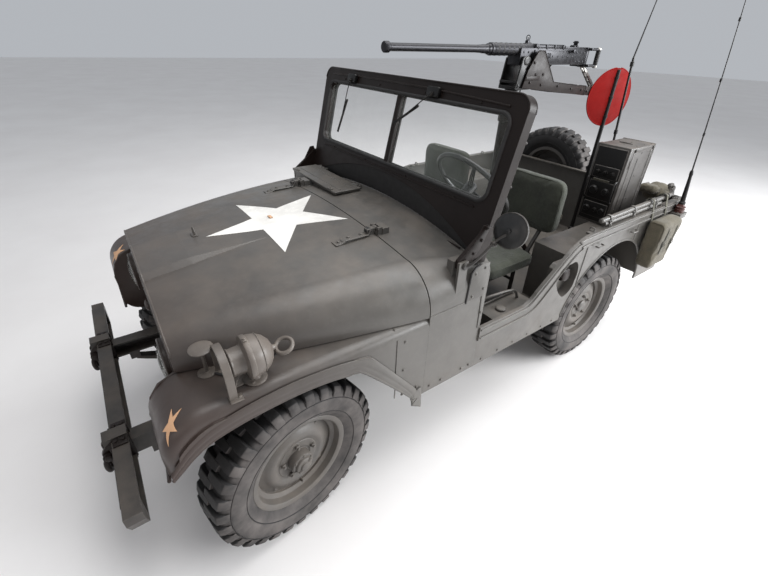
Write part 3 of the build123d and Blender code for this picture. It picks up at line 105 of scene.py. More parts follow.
def add_camera():
    """The photograph's viewpoint: its turn, its tilt and the slight roll of the picture."""
    az, pitch, roll = CAMERA_AZIMUTH, CAMERA_PITCH, CAMERA_ROLL
    back = Vector((sin(az) * cos(pitch), -cos(az) * cos(pitch), sin(pitch)))
    right = Vector((cos(az), sin(az), 0))
    up = back.cross(right)
    side = cos(roll) * right + sin(roll) * up
    rise = -sin(roll) * right + cos(roll) * up
    lens = bpy.data.cameras.new("photo_view")
    lens.sensor_width = SENSOR
    lens.lens = FOCAL_PX / PHOTO_W * SENSOR
    camera = bpy.data.objects.new("photo_view", lens)
    turn = Matrix((side, rise, back)).transposed().to_4x4()
    camera.matrix_world = Matrix.Translation(CAMERA_AT) @ turn
    scene.collection.objects.link(camera)
    scene.camera = camera


add_camera()


# Materials

DUST = (0.2, 0.16, 0.125)
ROAD_DIRT = (0.165, 0.145, 0.135)
# Painted shade: a warm dark tone laid over the front of the hood and fenders, most at the noses and lower
# down.
NOSE_PAINTED_SHADE = (0.03, 0.014, 0.01)
RUBBED_EDGE = (0.28, 0.25, 0.21)
RUST = (0.16, 0.07, 0.035)
THREAD_SCALE = 150.0


class Graph:
    """A material's node tree, built by short calls."""

    def __init__(self, name, **sockets):
        self.material = bpy.data.materials.new(name)
        self.material.use_nodes = True
        self.tree = self.material.node_tree
        self.shader = self.tree.nodes["Principled BSDF"]
        for socket, value in sockets.items():
            self.shader.inputs[socket.replace("_", " ")].default_value = value
        self.place = self.node("ShaderNodeTexCoord").outputs["Object"]

    def node(self, kind, **settings):
        made = self.tree.nodes.new(kind)
        for key, value in settings.items():
            setattr(made, key, value)
        return made

    def feed(self, socket, value):
        if isinstance(value, bpy.types.NodeSocket):
            self.tree.links.new(value, socket)
        else:
            socket.default_value = value

    def noise(self, scale, detail=4.0, rough=0.6, stretch=None):
        made = self.node("ShaderNodeTexNoise")
        made.inputs["Scale"].default_value = scale
        made.inputs["Detail"].default_value = detail
        made.inputs["Roughness"].default_value = rough
        place = self.place
        if stretch:
            mapping = self.node("ShaderNodeMapping")
            mapping.inputs["Scale"].default_value = stretch
            self.tree.links.new(place, mapping.inputs["Vector"])
            place = mapping.outputs["Vector"]
        self.tree.links.new(place, made.inputs["Vector"])
        return made.outputs["Fac"]

    def span(self, value, low, high, start=0.0, end=1.0):
        made = self.node("ShaderNodeMapRange")
        self.feed(made.inputs["Value"], value)
        for key, number in (("From Min", low), ("From Max", high), ("To Min", start), ("To Max", end)):
            made.inputs[key].default_value = number
        return made.outputs["Result"]

    def math(self, operation, a, b=0.0):
        made = self.node("ShaderNodeMath", operation=operation)
        self.feed(made.inputs[0], a)
        self.feed(made.inputs[1], b)
        return made.outputs["Value"]

    def times(self, a, b):
        return self.math("MULTIPLY", a, b)

    def mix(self, factor, a, b):
        made = self.node("ShaderNodeMix", data_type="RGBA")
        for socket, value in ((made.inputs[0], factor), (made.inputs[6], a), (made.inputs[7], b)):
            self.feed(socket, (*value, 1.0) if isinstance(value, tuple) else value)
        return made.outputs[2]

    def turned_to(self, axis):
        """How far the surface faces along an axis of the car."""
        split = self.node("ShaderNodeSeparateXYZ")
        self.tree.links.new(self.node("ShaderNodeNewGeometry").outputs["Normal"], split.inputs[0])
        return split.outputs[axis]

    def along(self, axis):
        """The place on the car along an axis, in metres."""
        split = self.node("ShaderNodeSeparateXYZ")
        self.tree.links.new(self.node("ShaderNodeNewGeometry").outputs["Position"], split.inputs[0])
        return split.outputs[axis]

    def edges(self, radius):
        """How far the surface turns within radius: 0 on a flat face, more at an edge."""
        bevel = self.node("ShaderNodeBevel", samples=4)
        bevel.inputs["Radius"].default_value = radius
        dot = self.node("ShaderNodeVectorMath", operation="DOT_PRODUCT")
        self.tree.links.new(bevel.outputs["Normal"], dot.inputs[0])
        self.tree.links.new(self.node("ShaderNodeNewGeometry").outputs["Normal"], dot.inputs[1])
        return self.span(dot.outputs["Value"], 0.98, 0.8)

    def colour(self, value):
        self.feed(self.shader.inputs["Base Color"], value)

    def rough(self, value):
        self.feed(self.shader.inputs["Roughness"], value)

    def bump(self, value, depth, strength=0.5, soft=0.0):
        made = self.node("ShaderNodeBump")
        made.inputs["Strength"].default_value = strength
        made.inputs["Distance"].default_value = depth
        self.feed(made.inputs["Height"], value)
        if soft:
            bevel = self.node("ShaderNodeBevel", samples=4)
            bevel.inputs["Radius"].default_value = soft
            self.tree.links.new(bevel.outputs["Normal"], made.inputs["Normal"])
        self.tree.links.new(made.outputs["Normal"], self.shader.inputs["Normal"])


def scaled(colour, by):
    """A lighter or darker tone of a colour."""
    return tuple(channel * by for channel in colour)


def painted(name, colour, roughness=0.4, dust=0.3, worn=0.4, soft=0.0025, front=0.0, gloss=0.5):
    """Brushed-on military paint: uneven tone, dust on upper faces, grime low down, rubbed edges, and painted
    shade towards the car's front when front is given.
    """
    g = Graph(name, Specular_IOR_Level=gloss)
    broad, fine = g.noise(2.4, 6.0), g.noise(38.0, 6.0, 0.7)
    tone = g.mix(g.span(broad, 0.36, 0.64), scaled(colour, 0.84), scaled(colour, 1.16))
    tone = g.mix(g.times(g.span(fine, 0.52, 0.74), 0.35), tone, scaled(colour, 1.5))
    up = g.times(g.span(g.turned_to("Z"), 0.2, 0.95), g.span(g.noise(7.0, 8.0), 0.38, 0.72))
    low = g.times(g.span(g.along("Z"), 0.75, 0.3), g.span(g.noise(11.0, 8.0), 0.3, 0.75))
    dirt = g.times(g.math("ADD", up, low), dust)
    tone = g.mix(dirt, tone, DUST)
    # Painted shade: darkens the paint towards the car's front, more lower down, by the share front.
    if front:
        ahead = g.times(g.span(g.along("Y"), -0.75, -1.6), g.span(g.along("Z"), 1.2, 0.85, 0.15))
        tone = g.mix(g.times(ahead, front), tone, NOSE_PAINTED_SHADE)
    rub = g.times(g.edges(0.004), g.span(g.noise(60.0, 5.0), 0.44, 0.66))
    tone = g.mix(g.times(rub, worn), tone, RUBBED_EDGE)
    g.colour(tone)
    shine = g.span(g.noise(16.0, 5.0), 0.35, 0.7, roughness - 0.06, roughness + 0.1)
    g.rough(g.math("ADD", shine, g.times(dirt, 0.5)))
    g.bump(g.noise(260.0, 3.0), 0.0004, 0.35, soft)
    return g.material


def steel(name, colour, roughness=0.4, rust=0.0, metallic=0.75):
    """Worked steel, patchy and brighter at its edges, rusty if asked."""
    g = Graph(name, Metallic=metallic)
    fine = g.noise(55.0, 7.0, 0.7)
    tone = g.mix(g.span(fine, 0.4, 0.7), scaled(colour, 0.75), scaled(colour, 1.35))
    tone = g.mix(g.times(g.edges(0.002), 0.5), tone, scaled(colour, 3.0))
    if rust:
        tone = g.mix(g.times(g.span(g.noise(9.0, 8.0), 0.45, 0.65), rust), tone, RUST)
    g.colour(tone)
    g.rough(g.span(fine, 0.3, 0.7, roughness - 0.08, roughness + 0.12))
    g.bump(g.noise(320.0, 4.0), 0.0003, 0.3, 0.0012)
    return g.material


def rubber(name, colour, dust):
    """Tyre and seal rubber with road dust on the faces that point outwards, the tread kept darker as painted
    shade.
    """
    g = Graph(name, Roughness=0.75)
    tone = g.mix(g.span(g.noise(30.0, 6.0, 0.7), 0.35, 0.7), scaled(colour, 0.7), scaled(colour, 1.35))
    # Dust only on the side walls: partly road dust, partly painted shade that leaves the tread darker.
    walls_dust_tread_shade = g.span(g.math("ABSOLUTE", g.turned_to("X")), 0.45, 0.85)
    spots = g.times(g.span(g.noise(8.0, 8.0), 0.3, 0.65), walls_dust_tread_shade)
    tone = g.mix(g.times(spots, dust), tone, ROAD_DIRT)
    g.colour(tone)
    g.bump(g.noise(420.0, 4.0), 0.0005, 0.4)
    return g.material


def cloth(name, colour):
    """Woven duck: two crossed waves for the threads, fading and stains over them."""
    g = Graph(name, Roughness=0.88)
    g.shader.inputs["Sheen Weight"].default_value = 0.15
    threads = []
    for direction in ("X", "Z"):
        wave = g.node("ShaderNodeTexWave", wave_type="BANDS", bands_direction=direction)
        wave.inputs["Scale"].default_value = THREAD_SCALE
        wave.inputs["Distortion"].default_value = 1.2
        wave.inputs["Detail"].default_value = 1.0
        g.tree.links.new(g.place, wave.inputs["Vector"])
        threads.append(wave.outputs["Fac"])
    woven = g.times(threads[0], threads[1])
    tone = g.mix(g.span(g.noise(6.0, 8.0), 0.34, 0.68), scaled(colour, 0.62), scaled(colour, 1.25))
    tone = g.mix(g.times(g.span(g.noise(90.0, 5.0), 0.5, 0.75), 0.5), tone, scaled(colour, 1.8))
    tone = g.mix(g.times(woven, 0.25), tone, scaled(colour, 0.5))
    g.colour(tone)
    g.bump(g.math("ADD", woven, g.times(g.noise(40.0, 6.0), 3.0)), 0.0009, 0.6)
    return g.material


def timber(name, colour):
    """Wood with its grain drawn out along the car."""
    g = Graph(name, Roughness=0.6)
    grain = g.noise(30.0, 6.0, 0.65, stretch=(6.0, 0.5, 6.0))
    g.colour(g.mix(g.span(grain, 0.35, 0.68), scaled(colour, 0.6), scaled(colour, 1.3)))
    g.bump(grain, 0.0006, 0.4)
    return g.material


def plastic(name, colour, roughness=0.3):
    """Moulded plastic, handled dull in places."""
    g = Graph(name)
    g.colour(g.mix(g.span(g.noise(25.0, 5.0), 0.35, 0.7), scaled(colour, 0.8), scaled(colour, 1.5)))
    g.rough(g.span(g.noise(40.0, 5.0), 0.35, 0.7, roughness, roughness + 0.2))
    g.bump(g.noise(300.0, 3.0), 0.0003, 0.25)
    return g.material


def glass(name, tint, roughness, ribs=0.0):
    """Thick lamp glass, ribbed if asked."""
    g = Graph(name, Roughness=roughness, IOR=1.45, Transmission_Weight=1.0)
    g.colour(g.mix(g.span(g.noise(6.0, 6.0), 0.4, 0.7), tint, scaled(tint, 0.92)))
    if ribs:
        wave = g.node("ShaderNodeTexWave", wave_type="BANDS", bands_direction="X")
        wave.inputs["Scale"].default_value = ribs
        g.tree.links.new(g.place, wave.inputs["Vector"])
        g.bump(wave.outputs["Fac"], 0.004, 0.7)
    return g.material


def pane(name):
    """Thin window glass: clear, with a film of dust, without bending what is behind."""
    g = Graph(name, Roughness=0.04)
    film = g.span(g.noise(4.0, 8.0), 0.35, 0.75, 0.02, 0.09)
    g.colour((0.7, 0.76, 0.7, 1.0))
    g.feed(g.shader.inputs["Alpha"], film)
    g.material.surface_render_method = "BLENDED"
    return g.material


BODY = painted("body_paint", (0.085, 0.08, 0.073), 0.34, front=0.9)
CHASSIS = painted("chassis_paint", (0.024, 0.021, 0.019), 0.42, dust=0.25, worn=0.4)
DARK = painted("frame_paint", (0.0125, 0.0082, 0.007), 0.4, dust=0.02, worn=0.08, gloss=0.2)
WHEEL = painted("wheel_paint", (0.092, 0.085, 0.078), 0.42, dust=0.3)
RADIO = painted("radio_paint", (0.055, 0.05, 0.046), 0.4, dust=0.35, worn=0.8)
LAMP = painted("lamp_paint", (0.105, 0.09, 0.078), 0.36, dust=0.3, worn=0.6)
ENGINE = painted("engine_iron", (0.06, 0.058, 0.055), 0.6, dust=0.5)
WHITE = painted("star_white", (0.78, 0.76, 0.72), 0.5, dust=0.1, worn=0.0, soft=0.0)
TAN = painted("star_tan", (0.62, 0.36, 0.2), 0.6, dust=0.1, worn=0.0, soft=0.0)
RED = painted("signal_red", (0.19, 0.004, 0.003), 0.7, dust=0.0, worn=0.0, gloss=0.1)
BLACK = painted("black_steel", (0.006, 0.0055, 0.0055), 0.4, dust=0.05, worn=0.3, soft=0.001, gloss=0.35)
GUN = steel("gun_steel", (0.028, 0.028, 0.031), 0.36)
BARE = steel("bare_steel", (0.35, 0.34, 0.32), 0.3)
RUSTY = steel("exhaust_steel", (0.12, 0.1, 0.085), 0.6, rust=0.8, metallic=0.5)
TYRE = rubber("tyre_rubber", (0.017, 0.016, 0.016), 0.62)
SEAL = rubber("seal_rubber", (0.016, 0.015, 0.015), 0.12)
SEAT = cloth("seat_canvas", (0.03, 0.033, 0.022))
KHAKI = cloth("khaki_canvas", (0.085, 0.073, 0.048))
WEBBING = cloth("webbing", (0.06, 0.055, 0.035))
WOOD = timber("tool_wood", (0.12, 0.09, 0.05))
BAKELITE = plastic("black_plastic", (0.012, 0.012, 0.012))
INSULATOR = plastic("insulator", (0.06, 0.018, 0.014), 0.25)
LENS = glass("lamp_glass", (0.9, 0.92, 0.9), 0.05, ribs=60.0)
PANE = pane("window_glass")

FINISHES = {
    "body_paint": BODY, "chassis_paint": CHASSIS, "frame_paint": DARK, "wheel_paint": WHEEL,
    "engine_iron": ENGINE, "exhaust_steel": RUSTY, "lamp_glass": BODY, "window_glass": PANE,
    "black_steel": BLACK, "black_plastic": BAKELITE, "gun_steel": GUN, "radio_paint": RADIO,
    "signal_red": RED, "tyre_rubber": TYRE, "seat_canvas": SEAT, "khaki_canvas": KHAKI, "tool_wood": WOOD,
}


def finish_cad_nodes():
    """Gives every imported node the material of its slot."""
    slots = {row["node"]: row["material_slot"] for row in frame["record"]["subparts"]}
    for name, node in frame["nodes"].items():
        for holder in node.material_slots:
            holder.material = FINISHES[slots[name]]


finish_cad_nodes()


# Floor and light

def add_floor():
    """The pale hall floor."""
    g = Graph("floor")
    g.colour(g.mix(g.span(g.noise(0.9, 6.0), 0.3, 0.7), (0.8, 0.775, 0.76), (0.86, 0.84, 0.825)))
    g.rough(g.span(g.noise(3.0, 5.0), 0.3, 0.7, 0.5, 0.65))
    mesh = bpy.data.meshes.new("floor")
    size = 40.0
    mesh.from_pydata([(-size, -size, 0), (size, -size, 0), (size, size, 0), (-size, size, 0)],
                     [], [(0, 1, 2, 3)])
    mesh.materials.append(g.material)
    floor = bpy.data.objects.new("floor", mesh)
    scene.collection.objects.link(floor)


def add_light(name, where, aim, size, power, tint=(1.0, 1.0, 1.0)):
    """A rectangular lamp pointed at aim."""
    lamp = bpy.data.lights.new(name, "AREA")
    lamp.shape = "RECTANGLE"
    lamp.size, lamp.size_y = size
    lamp.energy = power
    lamp.color = tint
    holder = bpy.data.objects.new(name, lamp)
    holder.location = where
    holder.rotation_euler = (Vector(aim) - Vector(where)).to_track_quat("-Z", "Y").to_euler()
    scene.collection.objects.link(holder)


def add_studio():
    """Soft daylight from the hall's rear side, a ceiling panel and a weak warm fill."""
    world = bpy.data.worlds.new("studio")
    world.use_nodes = True
    world.node_tree.nodes["Background"].inputs["Color"].default_value = (0.9, 0.94, 1.0, 1.0)
    world.node_tree.nodes["Background"].inputs["Strength"].default_value = 0.5
    scene.world = world
    scene.view_settings.view_transform = "Standard"
    scene.view_settings.look = "None"
    add_light("side_window", (4.8, 4.6, 2.8), (0.4, 0.9, 0.8), (4.0, 2.6), 640, (0.96, 0.98, 1.0))
    add_light("ceiling", (0.5, 1.2, 5.5), (0, 0, 0), (5.0, 5.0), 320)
    add_light("front_fill", (3.0, -6.0, 2.6), (0, -0.5, 0.7), (4.0, 2.0), 30, (1.0, 0.86, 0.76))


add_floor()
add_studio()


# Mesh building

class Form:
    """Collects closed shapes, in the drawing's millimetres, and makes them into one piece."""

    def __init__(self):
        self.mesh = bmesh.new()
        self.paint = 0

    def faces(self, points, faces):
        """Makes faces in the paint of the moment."""
        verts = [self.mesh.verts.new(point) for point in points]
        made = [self.mesh.faces.new([verts[i] for i in face]) for face in faces]
        for face in made:
            face.material_index = self.paint
        return made

    def add(self, points, faces, soft=0.0, steps=2):
        """Faces with their sharp edges rounded off by soft."""
        made = self.faces(points, faces)
        if soft:
            bmesh.ops.recalc_face_normals(self.mesh, faces=made)
            sharp = {edge for face in made
                     for edge in face.edges if edge.is_manifold and edge.calc_face_angle(0.0) > 0.5}
            bmesh.ops.bevel(self.mesh, geom=list(sharp), offset=soft, segments=steps, profile=0.5,
                            affect="EDGES", clamp_overlap=True)

    def slab(self, outline, place, depth, soft=0.0, steps=2):
        """A flat outline (u, v) with that depth, laid by a matrix whose Z is the depth."""
        n = len(outline)
        points = [place @ Vector((u, v, 0)) for u, v in outline]
        points += [place @ Vector((u, v, depth)) for u, v in outline]
        faces = [tuple(range(n))[::-1], tuple(range(n, 2 * n))]
        faces += [(i, (i + 1) % n, n + (i + 1) % n, n + i) for i in range(n)]
        self.add(points, faces, soft, steps)

    def block(self, x0, x1, y0, y1, z0, z1, soft=2.0, steps=2):
        """A box along the car's axes, its edges rounded."""
        x0, x1 = sorted((x0, x1))
        outline = [(x0, y0), (x1, y0), (x1, y1), (x0, y1)]
        self.slab(outline, Matrix.Translation((0, 0, z0)), z1 - z0, soft, steps)

    def turned(self, profile, place, sides=48, closed=False):
        """A profile of (along, radius) turned about the X axis of a matrix."""
        turns = [2 * pi * i / sides for i in range(sides)]
        self.sweep([[place @ Vector((along, radius * cos(a), radius * sin(a))) for a in turns]
                    for along, radius in profile], closed)

    def lathe(self, origin, axis, profile, sides=48, closed=False):
        """The same about an axis through origin."""
        self.turned(profile, spun(origin, axis), sides, closed)

    def rod(self, start, end, radius, end_radius=None, sides=20, soft=1.0):
        """A round bar with eased ends."""
        a, b = Vector(start), Vector(end)
        place = Matrix.Translation(a) @ (b - a).to_track_quat("X", "Z").to_matrix().to_4x4()
        length, last = (b - a).length, radius if end_radius is None else end_radius
        ease = min(soft, radius * 0.4, last * 0.4, length * 0.3)
        self.turned([(0, radius - ease), (ease, radius), (length - ease, last), (length, last - ease)], place,
                    sides)

    def sweep(self, rows, closed):
        """Faces between rows of points, with the ends closed unless the rows run round."""
        sides, n = len(rows[0]), len(rows)
        faces = []
        for j in range(n if closed else n - 1):
            a, b = j * sides, (j + 1) % n * sides
            faces += [(a + k, a + (k + 1) % sides, b + (k + 1) % sides, b + k) for k in range(sides)]
        if not closed:
            faces += [tuple(range(sides))[::-1], tuple(range((n - 1) * sides, n * sides))]
        self.add([point for row in rows for point in row], faces)

    def tube(self, points, radius, sides=12, closed=False, flat=1.0, end_radius=None):
        """A round or flattened section carried along points without twisting."""
        line = [Vector(p) for p in points]
        last = radius if end_radius is None else end_radius
        side = None
        rows = []
        for i, here in enumerate(line):
            ahead = heading(line, i, closed).normalized()
            if side is None:
                side = Vector(UP).cross(ahead)
                side = side if side.length > 0.05 else Vector(LEFT)
            side = (side - ahead * side.dot(ahead)).normalized()
            rise = ahead.cross(side)
            r = radius + (last - radius) * i / (len(line) - 1)
            rows.append([here + side * r * cos(a) + rise * r * flat * sin(a)
                         for a in (2 * pi * k / sides for k in range(sides))])
        self.sweep(rows, closed)

    def pipe(self, points, steps, radius, sides, **shape):
        """A tube along a smooth line through the points."""
        self.tube(curved(points, steps), radius, sides, **shape)

    def band(self, points, across, width, thick, closed=False):
        """A flat strap along points, width wide in the across direction."""
        line = [Vector(p) for p in points]
        side = Vector(across).normalized()
        rows = []
        for i, here in enumerate(line):
            out = side.cross(heading(line, i, closed)).normalized()
            rows.append([here + side * u * width / 2 + out * v * thick / 2
                         for u, v in ((0.9, 1), (1, 0), (0.9, -1), (-0.9, -1), (-1, 0), (-0.9, 1))])
        self.sweep(rows, closed)

    def plate(self, outline, x0, x1, soft=1.5):
        """A flat plate drawn as (y, z), standing between two places across the car."""
        x0, x1 = sorted((x0, x1))
        turn = Matrix(((0, 0, 1, 0), (1, 0, 0, 0), (0, 1, 0, 0), (0, 0, 0, 1)))
        self.slab(outline, Matrix.Translation((x0, 0, 0)) @ turn, x1 - x0, soft)

    def bolt(self, base, along, radius, height):
        """A hexagon head standing on base."""
        along = Vector(along).normalized()
        place = Matrix.Translation(base) @ along.to_track_quat("X", "Z").to_matrix().to_4x4()
        self.turned([(0, radius * 1.35), (height * 0.2, radius * 1.35)], place, 16)
        self.turned([(height * 0.2, radius), (height * 0.85, radius), (height, radius * 0.8)], place, 6)

    def skin(self, grid, depth):
        """A sheet through a grid of points, with a thickness."""
        rows, cols = len(grid), len(grid[0])
        faces = []
        for j in range(rows - 1):
            for i in range(cols - 1):
                a, b = j * cols + i, (j + 1) * cols + i
                faces.append((a, a + 1, b + 1, b))
        made = self.faces([point for row in grid for point in row], faces)
        bmesh.ops.recalc_face_normals(self.mesh, faces=made)
        bmesh.ops.solidify(self.mesh, geom=made, thickness=depth)

    def piece(self, name, body, paints, replaces=(), slot=None, angle=38.0, subdivide=0):
        """Turns what was drawn into one piece that rides a body and may stand in for CAD nodes."""
        bmesh.ops.recalc_face_normals(self.mesh, faces=self.mesh.faces)
        self.mesh.transform(TO_FRAME)
        mesh = bpy.data.meshes.new(name)
        self.mesh.to_mesh(mesh)
        self.mesh.free()
        mesh.shade_smooth()
        mesh.set_sharp_from_angle(angle=radians(angle))
        for paint in paints:
            mesh.materials.append(paint)
        made = bpy.data.objects.new(name, mesh)
        scene.collection.objects.link(made)
        if subdivide:
            rounder = made.modifiers.new("rounder", "SUBSURF")
            rounder.levels = rounder.render_levels = subdivide
        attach(made, body)
        if replaces:
            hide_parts(*replaces)
        return made


def heading(line, i, closed):
    """From the point before line[i] to the one after it."""
    if closed:
        return line[(i + 1) % len(line)] - line[i - 1]
    return line[min(i + 1, len(line) - 1)] - line[max(i - 1, 0)]


def curved(points, steps=8):
    """Points along a smooth line through the given ones."""
    line = [Vector(p) for p in points]
    out = []
    for i in range(len(line) - 1):
        p1, p2 = line[i], line[i + 1]
        p0 = line[i - 1] if i else p1 * 2 - p2
        p3 = line[i + 2] if i + 2 < len(line) else p2 * 2 - p1
        for k in range(steps):
            t = k / steps
            out.append(0.5 * (2 * p1 + (p2 - p0) * t + (2 * p0 - 5 * p1 + 4 * p2 - p3) * t * t
                              + (3 * p1 - p0 - 3 * p2 + p3) * t ** 3))
    return out + [line[-1]]


def ring(centre, axis, radius, count=40):
    """Points evenly round an axis."""
    place = spun(centre, axis)
    turns = (radians(360.0 * i / count) for i in range(count))
    return [place @ Vector((0, radius * cos(a), radius * sin(a))) for a in turns]


def level_ring(centre, radius, count, start=0.0):
    """Points evenly round a level circle."""
    x, y, z = centre
    turns = (radians(start + 360 / count * i) for i in range(count))
    return [(x + radius * cos(a), y + radius * sin(a), z) for a in turns]


def spun(origin, axis):
    """A matrix whose X runs along the axis."""
    return Matrix.Translation(origin) @ Vector(axis).to_track_quat("X", "Z").to_matrix().to_4x4()


def facing(origin, across, up):
    """A matrix whose X runs across, Y runs up and Z comes out of the face."""
    across, up = Vector(across).normalized(), Vector(up)
    out = across.cross(up).normalized()
    up = out.cross(across)
    return Matrix.Translation(origin) @ Matrix((across, up, out)).transposed().to_4x4()


def rounded(half_w, half_h, radius, steps=6):
    """A rectangle's outline with round corners."""
    out = []
    for cx, cy, start in ((1, 1, 0), (-1, 1, 90), (-1, -1, 180), (1, -1, 270)):
        for k in range(steps + 1):
            a = radians(start + 90 * k / steps)
            out.append((cx * (half_w - radius) + radius * cos(a), cy * (half_h - radius) + radius * sin(a)))
    return out


def surface(*names):
    """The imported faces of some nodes, in the drawing's millimetres, to lay things on."""
    points, faces = [], []
    back = TO_FRAME.inverted()
    for name in names:
        node = frame["nodes"][name]
        start = len(points)
        points += [back @ node.matrix_world @ vertex.co for vertex in node.data.vertices]
        faces += [[start + i for i in polygon.vertices] for polygon in node.data.polygons]
    return BVHTree.FromPolygons(points, faces)


def laid(tree, point, inward, lift=1.0, reach=400.0):
    """Where a point comes to lie when it is pushed inward onto a surface."""
    inward = Vector(inward).normalized()
    place = tree.ray_cast(Vector(point) - inward * reach, inward)[0]
    return None if place is None else place - inward * lift


def star(form, tree, centre, tip, inward, radius, cuts=12, wide=1.0):
    """A five-pointed star painted on a surface, with one tip towards tip."""
    inward = Vector(inward).normalized()
    up = Vector(tip)
    up = (up - inward * up.dot(inward)).normalized()
    across = up.cross(inward)
    corners = []
    for i in range(10):
        r, a = radius * (1.0 if i % 2 == 0 else STAR_WAIST), radians(36 * i)
        corners.append(up * r * cos(a) + across * r * sin(a) * wide)
    verts = {}
    made = []
    for i in range(10):
        one, two = corners[i], corners[(i + 1) % 10]

        def spot(j, k):
            """The vertex at a step of the fan, shared with its neighbours."""
            point = Vector(centre) + one * (j / cuts) + two * (k / cuts)
            key = tuple(round(c, 2) for c in point)
            if key not in verts:
                place = laid(tree, point, inward, STAR_LIFT)
                verts[key] = form.mesh.verts.new(place or point)
            return verts[key]

        for j in range(cuts):
            for k in range(cuts - j):
                made.append(form.mesh.faces.new((spot(j, k), spot(j + 1, k), spot(j, k + 1))))
                if j + k < cuts - 1:
                    made.append(form.mesh.faces.new((spot(j + 1, k), spot(j + 1, k + 1), spot(j, k + 1))))
    for face in made:
        face.material_index = form.paint
    bmesh.ops.recalc_face_normals(form.mesh, faces=made)
    bmesh.ops.solidify(form.mesh, geom=made, thickness=STAR_T)


# Tyres and wheels, each made about its own X axis and then put in place

LUGS = 32
LUG_DEPTH = 16.0


def wheel_place(end, side):
    """Where a road wheel stands: +X of the result points out of the car."""
    sign = 1 if side == "left" else -1
    turn = Matrix.Rotation(0 if sign > 0 else pi, 4, "Z")
    if end == "rear":
        return Matrix.Translation((sign * WHEEL_X, AXLE_R, TYRE_R)) @ turn
    pivot = Vector((sign * KINGPIN_X, AXLE_F, TYRE_R))
    steer = Matrix.Rotation(radians(STEER_REST), 4, "Z")
    return Matrix.Translation(pivot) @ steer @ Matrix.Translation((sign * (WHEEL_X - KINGPIN_X), 0, 0)) @ turn


def tyre_form(place):
    """A military tyre: a carcass with side ribs and two staggered rows of bar lugs."""
    form = Form()
    half, tread = TYRE_W / 2, TYRE_R - LUG_DEPTH
    side = [(RIM_W / 2 - 9, RIM_SEAT_R + 3), (RIM_W / 2 + 2, RIM_FLANGE_R + 6), (half - 14, 245),
            (half - 5, 265), (half - 1, 290), (half - 2, 312), (half - 6, TYRE_R - 45),
            (half - 9, TYRE_R - 41), (half - 13, TYRE_R - 30), (half - 25, tread - 3), (half - 46, tread)]
    profile = side + [(-x, r) for x, r in reversed(side)]
    form.turned(profile, place, 96, closed=True)
    for ring_r, ring_x in ((259, half - 7), (TYRE_R - 50, half - 4)):
        for sign in (1, -1):
            bead = [(sign * (ring_x - 3), ring_r - 3), (sign * (ring_x + 2), ring_r),
                    (sign * (ring_x - 3), ring_r + 3)]
            form.turned(bead, place, 96, closed=True)
    pitch = 2 * pi / LUGS
    for i in range(LUGS):
        for sign in (1, -1):
            middle = pitch * (i + (0.25 if sign > 0 else 0.75))
            lug(form, place, sign, middle, pitch * 0.26, half, tread)
    return form


def lug(form, place, sign, middle, half_angle, half, tread):
    """One bar lug from past the tyre's middle out over its shoulder and down the side."""
    stations = [(-16.0, tread - 4, TYRE_R - 1, 0.8), (12.0, tread - 4, TYRE_R, 0.9),
                (half - 40, tread - 4, TYRE_R, 1.0), (half - 17, tread - 9, TYRE_R - 4, 1.05),
                (half - 7, TYRE_R - 34, TYRE_R - 20, 1.05), (half - 3, TYRE_R - 48, TYRE_R - 40, 1.0)]
    sweep = -0.28
    points = []
    for x, low, high, width in stations:
        centre = middle + half_angle * sweep * (x / half - 0.5) * sign
        for radius, share in ((low, 1.18), (high, 1.0)):
            for edge in (-1, 1):
                a = centre + edge * half_angle * width * share
                points.append(place @ Vector((sign * x, radius * cos(a), radius * sin(a))))
    faces = [(0, 1, 3, 2)]
    for j in range(len(stations) - 1):
        a, b = 4 * j, 4 * (j + 1)
        faces += [(a, a + 1, b + 1, b), (a + 2, b + 2, b + 3, a + 3), (a, b, b + 2, a + 2),
                  (a + 1, a + 3, b + 3, b + 1)]
    last = 4 * (len(stations) - 1)
    faces.append((last, last + 2, last + 3, last + 1))
    form.add(points, faces, 2.0, 1)


